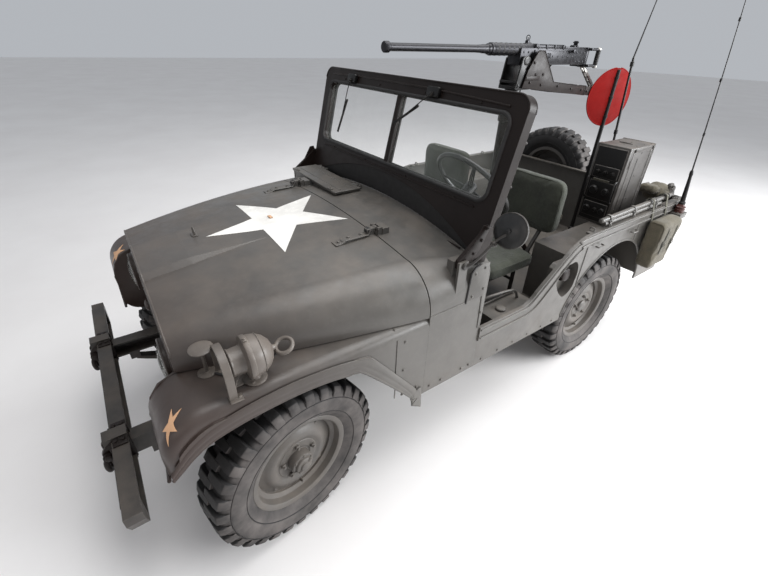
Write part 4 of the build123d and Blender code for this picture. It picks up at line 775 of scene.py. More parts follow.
def wheel_form(place, tip, end):
    """A pressed steel wheel with its hub, nuts and valve."""
    form = Form()
    edge = RIM_W / 2
    rim = [(edge, RIM_FLANGE_R - 2), (edge - 2, RIM_FLANGE_R), (edge - 5, RIM_FLANGE_R),
           (edge - 8, RIM_FLANGE_R - 5), (edge - 10, RIM_SEAT_R), (26, RIM_SEAT_R - 4), (18, RIM_SEAT_R - 20),
           (-16, RIM_SEAT_R - 20), (-24, RIM_SEAT_R - 4), (-edge + 9, RIM_SEAT_R), (-edge + 7, RIM_FLANGE_R),
           (-edge, RIM_FLANGE_R), (-edge, RIM_SEAT_R - 6), (-28, RIM_SEAT_R - 11), (-20, RIM_SEAT_R - 27),
           (20, RIM_SEAT_R - 27), (30, RIM_SEAT_R - 11), (edge - 6, RIM_SEAT_R - 6),
           (edge - 1, RIM_SEAT_R + 2)]
    form.turned(rim, place, 96, closed=True)
    disc = [(4, RIM_SEAT_R - 26), (10, RIM_SEAT_R - 27), (13, 168), (17, 156), (24, 146), (33, 134),
            (37, 124), (38, 114), (35, 104), (31, 96), (30, 60), (30, 2), (24, 2), (24, 92), (31, 112),
            (26, 130), (10, 150), (6, 166)]
    form.turned(disc, place, 96, closed=True)
    form.turned([(30, 92), (33, 90), (33, 60), (31, 58)], place, 64, closed=True)
    hub = [(28, 50), (tip - 26, 50), (tip - 22, 47), (tip - 21, 38), (tip - 12, 36), (tip - 9, 32),
           (tip - 8, 22), (tip - 2, 20), (tip, 16), (tip, 1), (28, 1)]
    if end == "rear":
        hub = [(28, 42), (tip - 8, 40), (tip - 3, 34), (tip, 24), (tip, 1), (28, 1)]
    form.turned(hub, place, 40, closed=True)
    for i in range(5):
        a = radians(90 + 72 * i)
        spot = Vector((31, 75 * cos(a), 75 * sin(a)))
        form.rod(place @ spot, place @ (spot + Vector((21, 0, 0))), 6, sides=12)
        form.bolt(place @ spot, place.to_3x3() @ Vector(LEFT), 11, 14)
    if end == "front":
        for i in range(6):
            a = radians(60 * i + 20)
            spot = Vector((tip - 26, 43 * cos(a), 43 * sin(a)))
            form.bolt(place @ spot, place.to_3x3() @ Vector(LEFT), 5.5, 8)
        for a in (radians(35), radians(215)):
            arm = Vector((tip - 10, 24 * cos(a), 24 * sin(a)))
            form.rod(place @ arm, place @ (arm + Vector((0, 12 * cos(a), 12 * sin(a)))), 7, sides=12)
    valve = Vector((22, 0, -160))
    form.rod(place @ valve, place @ (valve + Vector((26, 0, 12))), 5, sides=12)
    for i in range(4):
        a = radians(45 + 90 * i)
        spot = Vector((18, 157 * cos(a), 157 * sin(a)))
        form.turned([(-1.0, 9), (1.2, 9), (1.2, 4)],
                    Matrix.Translation(place @ spot) @ place.to_3x3().to_4x4(), 16)
    return form


def add_wheels():
    """The four road tyres and wheels."""
    for end in ("front", "rear"):
        for side in ("left", "right"):
            place, body = wheel_place(end, side), f"road_wheel_{end}_{side}"
            tyre_form(place).piece(f"tread_{end}_{side}", body, [TYRE], [f"tyre_{end}_{side}"], "tyre_rubber")
            wheel_form(place, HUB_TIP[end], end).piece(f"disc_wheel_{end}_{side}", body, [WHEEL],
                                                       [f"wheel_{end}_{side}"], "wheel_paint")


add_wheels()


# Hood, fenders and body

OUT = BODY_X + 8.0
OVER_HOOD = 1200.0
HOOD_HINGES = (-420.0, 356.0)
NOSE_EDGE = [(-1434, 700), (-1438, 776), (-1420, 846), (-1388, 888), (-1340, 908), (-1306, 913)]
ARCH_EDGE = [(-1430, 714), (-1402, 738), (-1366, 768), (-1330, 792), (-1284, 811), (-1200, 828), (-1100, 838),
             (-1000, 841), (-900, 834), (-820, 818), (-757, 798), (-513, 519), (-510, 497)]
LIP_RIDGE = [(-1431, 741), (-1402, 780), (-1366, 818), (-1320, 848), (-1268, 868), (-1180, 886), (-1080, 896),
             (-1000, 898), (-900, 892), (-810, 878), (-728, 853), (-690, 815), (-478, 545)]
BELT = (((-112, -112), (733, 657)), ((190, 160), (733, 657)), ((236, 270), (748, 665)),
        ((280, 350), (786, 715)), ((480, 500), (950, 868)), ((560, 600), (996, 933)),
        ((660, 720), (1018, 956)), ((1758, 1758), (1018, 956)))


def both(form, draw):
    """Draws a shape on the left and its mirror image on the right."""
    draw(form)
    before = set(form.mesh.verts)
    draw(form)
    fresh = [vert for vert in form.mesh.verts if vert not in before]
    for vert in fresh:
        vert.co.x = -vert.co.x
    bmesh.ops.reverse_faces(form.mesh, faces=list({face for vert in fresh for face in vert.link_faces}))


def add_hood():
    """The hood's star, rim bead, hinges, hook, patch and side loops."""
    tree = surface("hood")

    def on_top(x, y, lift):
        """A point on the hood, or a little above it."""
        return laid(tree, (x, y, OVER_HOOD), DOWN, lift)

    form = Form()
    star(form, tree, (-10, -730, OVER_HOOD), AHEAD, DOWN, 325, cuts=26)
    form.piece("hood_star", "hood", [WHITE], slot="body_paint", angle=60)
    form = Form()
    edge = []
    for i in range(61):
        a = pi * i / 60
        out = Vector((cos(a), 0, sin(a)))
        if out.z < 0.02:
            continue
        hit = tree.ray_cast(Vector((0, HOOD_FRONT_Y + 3, 945)) + out * 1500, -out)[0]
        if hit:
            edge.append(hit - out * 1.5)
    form.tube(edge, 4.5, 10)
    for x in HOOD_HINGES:
        along = [on_top(x, y, 2.5) for y in range(-640, -462, 16)]
        form.band(along, LEFT, 44, 4)
        for y in (-618, -570, -508):
            form.bolt(on_top(x, y, 4), UP, 8, 7)
        form.paint = 1
        form.block(x - 15, x + 15, -484, -458, 1138, 1158, 4)
        form.paint = 0
    foot = on_top(-60, -1092, 1)
    form.slab(rounded(22, 13, 5), Matrix.Translation(foot), 3, 1)
    form.pipe([foot + Vector((-12, 0, 2)), foot + Vector((-13, 0, 22)), foot + Vector((0, 0, 34)),
               foot + Vector((13, 0, 22)), foot + Vector((12, 0, 2))], 5, 3.5, 8)
    spot = on_top(-41, -757, 1.5)
    form.paint = 2
    form.slab(rounded(17, 8, 3), Matrix.Translation(spot), 4, 1)
    form.paint = 0
    for x in (-520, 520):
        y = -1100
        sign = 1 if x > 0 else -1
        hit = laid(tree, (sign * 900, y, 945), (-sign, 0, 0), 0, 400)
        form.slab(rounded(11, 19, 4), spun(hit, (sign, 0, 0)) @ Matrix.Rotation(pi / 2, 4, "Y"), 5, 1)
        form.tube(ring(hit + Vector((sign * 9, 0, -4)), BACK, 11, 20), 2.6, 6, closed=True)
    form.piece("hood_fittings", "hood", [BODY, SEAL, TAN], slot="body_paint")


def add_lid():
    """Pressed ribs, a rolled edge and a latch on the battery lid."""
    x0, x1, y0, y1, z = -640, -110, -372, -214, 1163
    form = Form()
    for y in (-330, -256):
        form.tube([(x0 + 16, y, z), ((x0 + x1) / 2, y, z), (x1 - 16, y, z)], 5, 8, flat=0.6)
    rim = [((x0 + x1) / 2 + u, (y0 + y1) / 2 + v, z - 4)
           for u, v in rounded((x1 - x0) / 2, (y1 - y0) / 2, 6, 2)]
    form.tube(rim, 4, 8, closed=True)
    for x in (x0 + 60, x1 - 60):
        form.block(x - 18, x + 18, y0 - 4, y0 + 14, z - 3, z + 5, 2)
        form.rod((x - 22, y1 - 2, z - 2), (x + 22, y1 - 2, z - 2), 7)
        form.bolt((x, y0 + 6, z + 5), UP, 5, 4)
    form.piece("lid_ribs", "battery_lid", [BODY], slot="body_paint")


def add_fender(side):
    """A fender's pressed lip, edge beads, bolts, hood seal and painted star."""
    sign = 1 if side == "left" else -1
    tree, hood_tree = surface(f"fender_{side}"), surface("hood")
    form = Form()
    ridge, edge = (curved([Vector((sign * (OUT - 2), y, z)) for y, z in points], 6)
                   for points in (LIP_RIDGE, ARCH_EDGE))
    fold = ((0, -1), (0.08, 1.5), (0.2, 3.5), (0.38, 5), (0.5, 5), (0.58, 4), (0.66, 5.2), (0.85, 5.5),
            (0.96, 4.5), (1, 0))
    form.skin([[a.lerp(b, share) + Vector((sign * out, 0, 0)) for share, out in fold]
               for a, b in zip(ridge, edge)], 1.5)
    form.tube(edge, 6, 10)
    low = [Vector((sign * x, FENDER_FRONT_Y - 1, z))
           for x, z in ((OUT - 12, 712), (700, 676), (610, 630), (530, 590))]
    form.tube(low, 6, 10)
    form.tube([Vector((sign * 528, y, z)) for y, z in NOSE_EDGE], 4.5, 10)
    form.tube([Vector((sign * x, -600, z)) for x, z in ((766, 874), (766, 800), (766, 700), (766, 560))], 2.5,
              8)
    form.tube([Vector((sign * x, -600, z)) for x, z in ((745, 910), (690, 914), (670, 914))], 2.5, 8)
    for y, z in ((-560, 850), (-560, 700), (-560, 560), (-480, 560)):
        form.bolt((sign * BODY_X, y, z), (sign, 0, 0), 5.5, 5)
    form.paint = 1
    strip = []
    for i in range(24):
        y = HOOD_FRONT_Y + 14 + (SEAM_Y - HOOD_FRONT_Y - 24) * i / 23
        hit = hood_tree.ray_cast(Vector((sign * 1200, y, 921)), Vector((-sign, 0, 0)))[0]
        strip.append(Vector((hit.x - sign * 5, y, 915.4)))
    form.tube(strip, 2.4, 6, flat=0.9)
    form.paint = 2
    if side == "left":
        star(form, tree, (716, -1391, 885), (36, -20, -38), (-0.3, 0.6, -0.73), 58, cuts=8, wide=0.55)
    else:
        star(form, tree, (-584, -1396, 872), (0, -0.6, -0.8), (0, 0.63, -0.77), 62, cuts=8)
    form.piece(f"fender_trim_{side}", "chassis", [BODY, SEAL, TAN], slot="body_paint")


def add_body_beads():
    """Ridges along the belt band, beads and fasteners on the body's sides."""
    form = Form()

    def ridges(form):
        """One side's ridges, beads and fasteners."""
        for share, radius in ((0.2, 6.5), (0.8, 6.5)):
            line = [Vector((OUT - 0.5, a + (b - a) * share, c + (d - c) * share)) for (a, b), (c, d) in BELT]
            form.pipe(line, 6, radius, 10, flat=0.7)
        for y, z0, z1 in ((1205, 852, 950), (665, 705, 950)):
            form.tube([(BODY_X, y, z0), (BODY_X, y, (z0 + z1) / 2), (BODY_X, y, z1)], 4, 8)
        form.pipe([(764, 1028.5 + 440 * cos(a), 440 + 440 * sin(a))
                   for a in (radians(10 + 8 * i) for i in range(21))], 2, 6, 8)
        for y in (-400, -330, -200, -150):
            form.bolt((BODY_X, y, 520), LEFT, 6, 5)
        for y in (-60, 60, 180, 300, 420, 520):
            form.bolt((BODY_X, y, 512), LEFT, 5, 4)
        form.plate([(-242, 921), (-236, 1059), (-222, 1075), (-195, 1084), (-136, 1085), (-123, 741),
                    (-140, 741), (-150, 921)], 764.5, 768.5)
        for y, z in ((-215, 940), (-212, 1050), (-160, 1065), (-150, 960), (-138, 830)):
            form.bolt((768, y, z), LEFT, 6, 5)
        form.tube([(765.5, -446 + 5, 920), (765.5, -340, 920), (765.5, -242, 920)], 2.5, 8)
        for y in (760, 1130, 1650):
            form.pipe([(772, y - 28, 930), (789, y - 26, 930), (793, y, 930), (789, y + 26, 930),
                       (772, y + 28, 930)], 4, 4.5, 8)

    both(form, ridges)
    form.paint = 1
    both(form, lambda form: form.tube([(766.5, -246, 915), (766.5, -241, 1000), (766.5, -238, 1058),
                                       (766.5, -222, 1079), (766.5, -192, 1088)], 4.5, 8))
    form.paint = 0
    form.block(-733, 733, 1761, 1768, 1000, 1012, 2)
    for x in (-610, -60, 60, 250, 690):
        form.tube([(x, 1766, 560), (x, 1766, 780), (x, 1766, 990)], 5, 8)
    form.piece("body_trim", "chassis", [BODY, SEAL], slot="body_paint")
    form = Form()
    form.plate([(453, 806), (458, 762), (500, 716), (522, 712), (528, 740), (498, 800), (480, 812)], 716, 719)
    for y, z in ((466, 796), (468, 766), (504, 728), (508, 780)):
        form.bolt((719, y, z), LEFT, 4.5, 4)
    form.lathe((716, 565, 785), (1, 0, 0.15), [(0, 34), (8, 34), (10, 30), (14, 30), (16, 36), (30, 36),
                                               (34, 30), (34, 1)], 32)
    for i in range(8):
        a = radians(45 * i)
        form.rod((720, 565 + 35 * cos(a), 785 + 35 * sin(a)),
                 (744, 565 + 35 * cos(a), 789 + 35 * sin(a)), 5, sides=8)
    form.piece("fuel_filler", "chassis", [DARK], slot="frame_paint")


def add_bumper():
    """Bumper brackets, shackles, bolts and beads."""
    form = Form()
    for sign in (-1, 1):
        x = sign * SHACKLE_X
        for side in (-1, 1):
            px = x + side * 24
            form.plate([(-1628, 470), (-1640, 490), (-1640, 520), (-1628, 540), (-1596, 566), (-1540, 570),
                        (-1540, 440), (-1596, 444)], px - 6, px + 6, 2)
        form.rod((x - 44, PIN_Y, PIN_Z), (x + 44, PIN_Y, PIN_Z), 11, soft=2)
        form.bolt((x + 38, PIN_Y, PIN_Z), LEFT, 15, 13)
        form.bolt((x - 38, PIN_Y, PIN_Z), RIGHT, 15, 13)
        hook = [Vector((x - 14, PIN_Y + 1, PIN_Z)), Vector((x - 30, -1640, 470)),
                Vector((x - 27, -1640, 430)), Vector((x, -1636, 408)), Vector((x + 27, -1640, 430)),
                Vector((x + 30, -1640, 470)), Vector((x + 14, PIN_Y + 1, PIN_Z))]
        form.pipe(hook, 6, 10, 12)
        for z in (458, 546):
            for dx in (-52, 52):
                form.bolt((x + dx, BUMPER_Y, z), AHEAD, 9, 8)
        form.block(x - 62, x + 62, BUMPER_Y + 4, BUMPER_Y + 54, 560, 566, 2)
        form.block(x - 16, x + 16, BUMPER_Y - 24, BUMPER_Y + 40, 560, 574, 3)
        for y in (-1585, -1560):
            form.bolt((x + 40, y, 566), UP, 8, 8)
            form.bolt((x - 40, y, 566), UP, 8, 8)
    for z in (448, 556):
        form.tube([(-650, BUMPER_Y + 1, z), (0, BUMPER_Y + 1, z), (650, BUMPER_Y + 1, z)], 3.5, 8)
    form.piece("bumper_shackles", "chassis", [DARK], slot="frame_paint")


def add_blackout_lamp():
    """The driving lamp with its guard, lifting ring and cable, and the marker beside it."""
    base, x, y = 913.3, 700.0, AXLE_F - 97
    z = base + 97
    form = Form()
    place = spun((x, y, z), AHEAD)
    form.turned([(-68, 1), (-67, 14), (-60, 34), (-46, 51), (-26, 63), (-8, 67.5), (4, 68), (5, 71), (9, 72),
                 (17, 72), (21, 70), (22, 66), (24, 50), (28, 45), (60, 43), (66, 45), (68, 44), (68, 39),
                 (54, 38), (54, 1)], place, 56)
    form.tube(ring((x, y + 26, z), AHEAD, 63.5, 56), 2, 6, closed=True)
    form.rod((x + 8, y - 13, z + 68), (x + 8, y - 13, z + 80), 5)
    form.block(x - 1, x + 17, y - 19, y - 7, z + 71, z + 75, 1)
    form.lathe((x, y, base), UP, [(0, 37), (5, 38), (8, 34), (10, 19), (30, 13), (46, 13), (56, 20)], 32)
    for spot in level_ring((x, y, base + 7), 28, 3, 90):
        form.bolt(spot, UP, 5, 5)
    hx, hy, r, leg = 678.0, y - 85, 75.0, 72.0
    arc = [(hx + r * cos(a), hy, base + leg + r * sin(a)) for a in (pi * i / 16 for i in range(17))]
    form.band([(hx + r, hy, base), *arc, (hx - r, hy, base)], BACK, 26, 6)
    for side in (-1, 1):
        form.block(hx + side * r - 16, hx + side * r + 16, hy - 13, hy + 26, base, base + 4, 1)
        form.bolt((hx + side * r, hy + 18, base + 4), UP, 5, 5)
    form.block(hx - 30, hx + 30, hy + 4, y - 20, base, base + 4, 1)
    form.band([(hx + 40, hy + 13, base + 2), (hx + 30, y - 60, base + 30), (hx + 24, y - 30, base + 66)],
              LEFT, 14, 3)
    mx, my = 589.0, AXLE_F - 218
    form.lathe((mx, my, base), UP, [(0, 30), (3, 30), (5, 22), (6, 6.5)], 32)
    for spot in level_ring((mx, my, base), 21, 3, 30):
        form.lathe(spot, UP, [(3, 5), (5, 5), (5.5, 3)], 14)
    form.lathe((mx, my, base), UP, [(5, 6), (88, 5.5), (92, 9), (97, 20), (99, 33), (100, 38), (103, 38),
                                    (105, 33), (107, 20), (108, 1)], 40)
    form.rod((x, y + 64, z), (x, y + 80, z), 11, 7)
    form.tube(ring((x + 2, y + 106, z - 8), (0.25, -0.35, 1), 28, 40), 7, 10, closed=True)
    form.paint = 2
    cable = curved([(x, y + 80, z - 26), (x - 8, y + 66, z - 50), (x - 22, y + 50, z - 78),
                    (x - 44, y + 30, base + 5), (x - 60, y + 10, base + 4), (mx + 60, my + 60, base + 4),
                    (mx + 22, my + 20, base + 4)], 6)
    form.tube(cable, 4.0, 8)
    form.paint = 1
    form.turned([(50, 38), (56, 37), (58, 30), (60, 1), (50, 1)], place, 32, closed=True)
    form.piece("driving_lamp", "chassis", [LAMP, BARE, SEAL], ["blackout_lamp"], "chassis_paint")


def add_mirror():
    """The round mirror on its bent arm."""
    form = Form()
    x0, y0, z0 = 764.3, -284.0, 1105.0
    path = curved([(x0 + 4, y0, z0), (x0 + 22, y0 + 24, z0 + 20), (x0 + 34, -200, 1178),
                   (x0 + 42, -170, 1206), (832, -150, 1238)], 6)
    form.tube(path, 5.5, 10)
    form.lathe((x0, y0, z0), LEFT, [(0, 15), (4, 16), (9, 12), (10, 1)], 24)
    form.rod((x0 + 28, -181, 1190), (x0 + 44, -181, 1190), 11)
    form.bolt((x0 + 44, -181, 1190), LEFT, 7, 6)
    axis = Vector((0.168, -0.956, 0.242))
    centre = Vector((835, -142, 1249))
    place = spun(centre, axis)
    form.paint = 1
    form.turned([(-6, 67), (-5, 68), (2, 67.5), (5, 62), (7, 45), (8, 22), (10, 18), (10, 1), (-6, 1)], place,
                56, closed=True)
    form.bolt(centre + axis * 10, axis, 8, 7)
    form.paint = 0
    form.turned([(-10, 67), (-9, 70), (3, 70), (4, 68), (2, 66), (-8, 66)], place, 56, closed=True)
    form.paint = 2
    form.turned([(-9, 66), (-8.5, 66), (-8.5, 1), (-9, 1)], place, 48, closed=True)
    form.piece("round_mirror", "chassis", [CHASSIS, BAKELITE, BARE], ["mirror"], "black_steel")


# Windshield

def shield(x, up, out=0.0):
    """A point on the leaning windshield: along it by up, and in front of its face by out."""
    s, c = sin(SHIELD_LEAN), cos(SHIELD_LEAN)
    return Vector((x, SHIELD_FOOT_Y + up * s - out * c, SHIELD_FOOT_Z + up * c + out * s))


def shield_up(z):
    """How far up the windshield a height above the ground lies."""
    return (z - SHIELD_FOOT_Z) / cos(SHIELD_LEAN)


def add_windshield():
    """Seals, frame beads, hinge arms, grips and the two wipers."""
    g0, g1, half = shield_up(GLASS_LOW_Z), shield_up(GLASS_TOP_Z), SHIELD_HALF_W - GLASS_SIDE
    middle, tall = (g0 + g1) / 2, (g1 - g0) / 2
    normal, along = shield(0, 0, 1) - shield(0, 0), shield(0, 1) - shield(0, 0)
    form = Form()
    for out in (0.0, -SHIELD_T):
        edge = [shield(x, middle + v, out) for x, v in rounded(half + 1, tall + 1, 46, 8)]
        form.tube(edge, 8.5, 10, closed=True)
        for x in (-13, 13):
            form.tube([shield(x, g0 + 4, out * 0.5 - 6), shield(x, middle, out * 0.5 - 6),
                       shield(x, g1 - 4, out * 0.5 - 6)], 4, 8)
    top = shield_up(FRAME_TOP_Z)
    low = [shield(x, shield_low(x), -14) for x in (-740 + 74 * i for i in range(21))]
    cowl_tree = surface("cowl")
    grid = []
    for point in low:
        foot = cowl_tree.ray_cast(point + Vector((0, 0, 30)), Vector(DOWN))[0]
        rise = point.z - foot.z if foot else 0
        grid.append([point + Vector((0, -10, 14)), point + Vector((0, -13, -rise * 0.5)),
                     point + Vector((0, -6, -rise + 2 if foot else -20))])
    rows = [[grid[i][j] for i in range(len(grid))] for j in range(3)]
    form.skin(rows, 5)
    form.piece("windshield_seals", "windshield", [SEAL], slot="tyre_rubber", angle=60)
    form = Form()
    foot = shield_up(1120)
    for out in (-1.0, 1.0 - SHIELD_T):
        outer = [shield(x, (top + foot) / 2 + v, out)
                 for x, v in rounded(SHIELD_HALF_W - 2, (top - foot) / 2 - 2, FRAME_CORNER_R, 8)]
        outer = [p for p in outer if p.z > ARM_TOP_Z]
        form.tube(sorted_top(outer), 4.5, 8)
    for v in (g0 - 30, g0 - 150):
        form.tube([shield(x, v - (60 if v < g0 - 100 else 0), 1) for x in (-640, -320, 0, 320, 640)], 4, 8)
    form.slab(rounded(13, tall + 4, 3), facing(shield(0, middle, -6), LEFT, along), 8, 1.5)
    for i in range(5):
        form.bolt(shield(0, g0 + 20 + (g1 - g0 - 40) * i / 4, 2), normal, 4, 3)
    gutter = [shield(x, top - 28 - 22 * ((x + 200) / 900) ** 2, 0.5) for x in range(-660, 680, 44)]
    form.tube(gutter, 5, 8)
    for x in (-520, -180, 180, 520):
        form.bolt(shield(x, g1 + 22, 0), normal, 5, 4)
        form.bolt(shield(x, g0 - 24, 0), normal, 5, 4)
    for sign in (-1, 1):
        x = sign * 747
        form.plate([(-312, 1084), (-262, 1084), (-196, 1150), (-160, 1226), (-170, 1252), (-196, 1250),
                    (-240, 1180), (-312, 1128)], x, x + sign * 5, 1.5)
        for y, z in ((-290, 1105), (-230, 1140), (-196, 1190), (-176, 1236)):
            form.bolt((x + sign * 5, y, z), (sign, 0, 0), 9 if y == -290 else 6, 6)
        for up in (0.25, 0.75):
            v = g0 + (g1 - g0) * up
            form.rod(shield(sign * 735, v, -SHIELD_T), shield(sign * 735, v, -SHIELD_T - 16), 7)
        grip = curved([shield(sign * 400 - 60, g1 + 24, -SHIELD_T),
                       shield(sign * 400 - 56, g1 + 24, -SHIELD_T - 26),
                       shield(sign * 400 + 56, g1 + 24, -SHIELD_T - 26),
                       shield(sign * 400 + 60, g1 + 24, -SHIELD_T)], 6)
        form.tube(grip, 5, 8)
    form.piece("windshield_fittings", "windshield", [DARK], slot="frame_paint")
    form = Form()
    for x, swing, reach in ((-430.0, 14.0, 290), (246.0, 57.0, 285)):
        lean = radians(swing)
        root, down = shield_up(GLASS_TOP_Z) + 18, Vector((-sin(lean), -cos(lean)))
        form.slab(rounded(38, 20, 8), facing(shield(x, root + 12, 0.3), LEFT, along), 20, 3)
        form.rod(shield(x, root, 2), shield(x, root, 27), 9)
        form.bolt(shield(x, root, 26), normal, 8, 6)
        arm = [shield(x + down.x * s, root + down.y * s, o)
               for s, o in ((0, 24), (60, 22), (130, 15), (185, 11))]
        form.pipe(arm, 5, 3.4, 8, flat=0.7)
        form.paint = 1
        blade = [shield(x + down.x * s, root + down.y * s, 5.5) for s in (100, 160, 220, reach)]
        form.band(blade, Vector((down.y, 0, -down.x)), 10, 6)
        form.paint = 0
        back = [shield(x + down.x * s, root + down.y * s, 9.5) for s in (102, 160, 220, reach - 2)]
        form.band(back, Vector((down.y, 0, -down.x)), 7, 4)
        inner = facing(shield(x, root + 12, -SHIELD_T - 1), RIGHT, along)
        form.slab(rounded(34, 22, 10), inner, 26, 4)
        form.tube([shield(x + 10, root + 12, -SHIELD_T - 22), shield(x + 60, root + 4, -SHIELD_T - 26),
                   shield(x + 84, root + 2, -SHIELD_T - 26)], 4, 8)
    form.piece("wiper_set", "windshield", [BLACK, SEAL], ["wipers"], "black_steel")


def sorted_top(points):
    """The part of the frame's edge above the hinge arms, run from one side to the other."""
    return sorted(points, key=lambda p: atan2(p.z - ARM_TOP_Z, p.x))


def shield_low(x):
    """How far up the windshield its lower edge lies, across the car."""
    side = shield_up(COWL_SIDE_Z + COWL_GAP)
    mid = 2 * shield_up(CROWN_REAR + COWL_GAP) - side + 30
    w, rise = SHIELD_HALF_W, mid - side
    radius = (w * w + rise * rise) / (2 * rise)
    return mid - radius + sqrt(radius * radius - x * x)


add_hood()
add_lid()
add_fender("left")
add_fender("right")
add_body_beads()
add_bumper()
add_blackout_lamp()
add_mirror()
add_windshield()


# Gun and pedestal

def add_gun():
    """The gun's outer form: barrel, pierced jacket, closed receiver, sights and spade grips."""
    z = GUN_Z
    form = Form()
    form.lathe((0, 0, z), BACK, [(-160, 12), (-160, 21), (-157, 23), (-136, 23), (-132, 18), (-128, 17),
                                 (420, 17.5), (455, 19), (470, 21), (500, 21), (505, 25), (520, 25),
                                 (524, 30), (536, 31), (540, 28), (548, 28)], 32)
    form.lathe((0, 0, z), BACK, [(-150, 8), (-159, 8), (-159, 1), (-150, 1)], 24, closed=True)
    form.lathe((0, 0, z), BACK, [(545, 28), (549, 30), (800, 30), (806, 33), (826, 33), (830, 36),
                                 (850, 36), (852, 28)], 40)
    form.paint = 1
    for k in range(9):
        a, r = 20 + 40 * k, (7.5, 4.5)[k % 2]
        for i in range(6 if r > 5 else 5):
            spot = 572 + 40 * i + (20 if r < 5 else 0)
            out = Vector((cos(radians(a)), 0, sin(radians(a))))
            form.lathe(Vector((0, spot, z)), out, [(29, r + 1), (30.6, r), (30.6, 1)], 14)
    form.paint = 0
    half = 42.0
    form.block(-half, half, 735, 1380, 1746, z + 10, 3)
    form.block(-half + 3, half - 3, 850, 1150, z + 8, z + 26, 6)
    form.block(-half + 7, half - 7, 1150, 1372, z + 8, z + 20, 5)
    for y in (880, 960, 1040, 1120):
        form.block(-half - 2, half + 2, y - 6, y + 6, z + 4, z + 29, 2)
    form.rod((-half - 6, 862, z + 22), (half + 6, 862, z + 22), 9)
    for side in (-1, 1):
        x = side * half
        form.plate([(850, z - 60), (1250, z - 60), (1250, z - 6), (850, z + 2)], x, x + side * 6, 2)
        form.plate([(880, z - 40), (1000, z - 40), (1000, z - 14), (880, z - 14)], x + side * 5,
                   x + side * 9, 2)
        for y in (760, 800, 1270, 1310, 1350):
            for dz in (-58, -10):
                form.bolt((x, y, z + dz), (side, 0, 0), 5, 3)
        for y in (1020, 1070, 1120, 1170, 1220):
            form.bolt((x + side * 6, y, z - 30), (side, 0, 0), 5, 3)
    form.rod((half + 6, 1200, z - 2), (half + 26, 1200, z - 2), 8)
    form.block(half + 22, half + 30, 1188, 1212, z - 12, z + 8, 3)
    form.block(-half, half, 1380, 1404, z - 88, z + 20, 4)
    for rail_z in (z - 80, z + 10):
        form.block(-66, 66, 1390, 1408, rail_z - 8, rail_z + 8, 3)
        for side in (-1, 1):
            form.rod((side * GRIP_X, 1396, rail_z), (side * GRIP_X, GRIP_Y, rail_z), 8)
    form.block(-9, 9, 1402, 1440, z - 34, z - 8, 4)
    form.block(-16, 16, 1432, 1444, z - 26, z - 16, 3)
    form.rod((-62, PEDESTAL_Y, TRUNNION_Z), (62, PEDESTAL_Y, TRUNNION_Z), 11)
    form.rod((-50, PEDESTAL_Y, TRUNNION_Z), (50, PEDESTAL_Y, TRUNNION_Z), 19)
    form.block(-10, 10, 818, 838, z + 24, z + 46, 3)
    form.tube(ring((0, 828, z + 58), BACK, 12, 24), 2.4, 8, closed=True)
    form.rod((0, 828, z + 44), (0, 828, z + 62), 2.2)
    form.block(-17, 17, 1268, 1312, z + 18, z + 27, 3)
    form.block(-14, 14, 1298, 1303, z + 26, z + 52, 2)
    form.rod((-19, 1300, z + 44), (19, 1300, z + 44), 4)
    form.rod((-24, 1290, z + 24), (24, 1290, z + 24), 6)
    form.paint = 1
    for side in (-1, 1):
        form.rod((side * GRIP_X, GRIP_Y, z - 78), (side * GRIP_X, GRIP_Y, z + 8), 14, soft=5)
        for i in range(6):
            form.tube(ring((side * GRIP_X, GRIP_Y, z - 66 + 13 * i), UP, 14, 20), 1.3, 6, closed=True)
    form.paint = 2
    for side in (-1, 1):
        form.lathe((side * GRIP_X, GRIP_Y, z), UP, [(-94, 1), (-94, 10), (-90, 15), (-78, 15)], 20)
        form.lathe((side * GRIP_X, GRIP_Y, z), UP, [(8, 15), (16, 15), (20, 10), (20, 1)], 20)
    form.rod((0, 828, z + 58), (0, 828, z + 63), 3.4)
    form.piece("gun", "machine_gun", [GUN, BLACK, BARE], ["machine_gun"], "gun_steel")


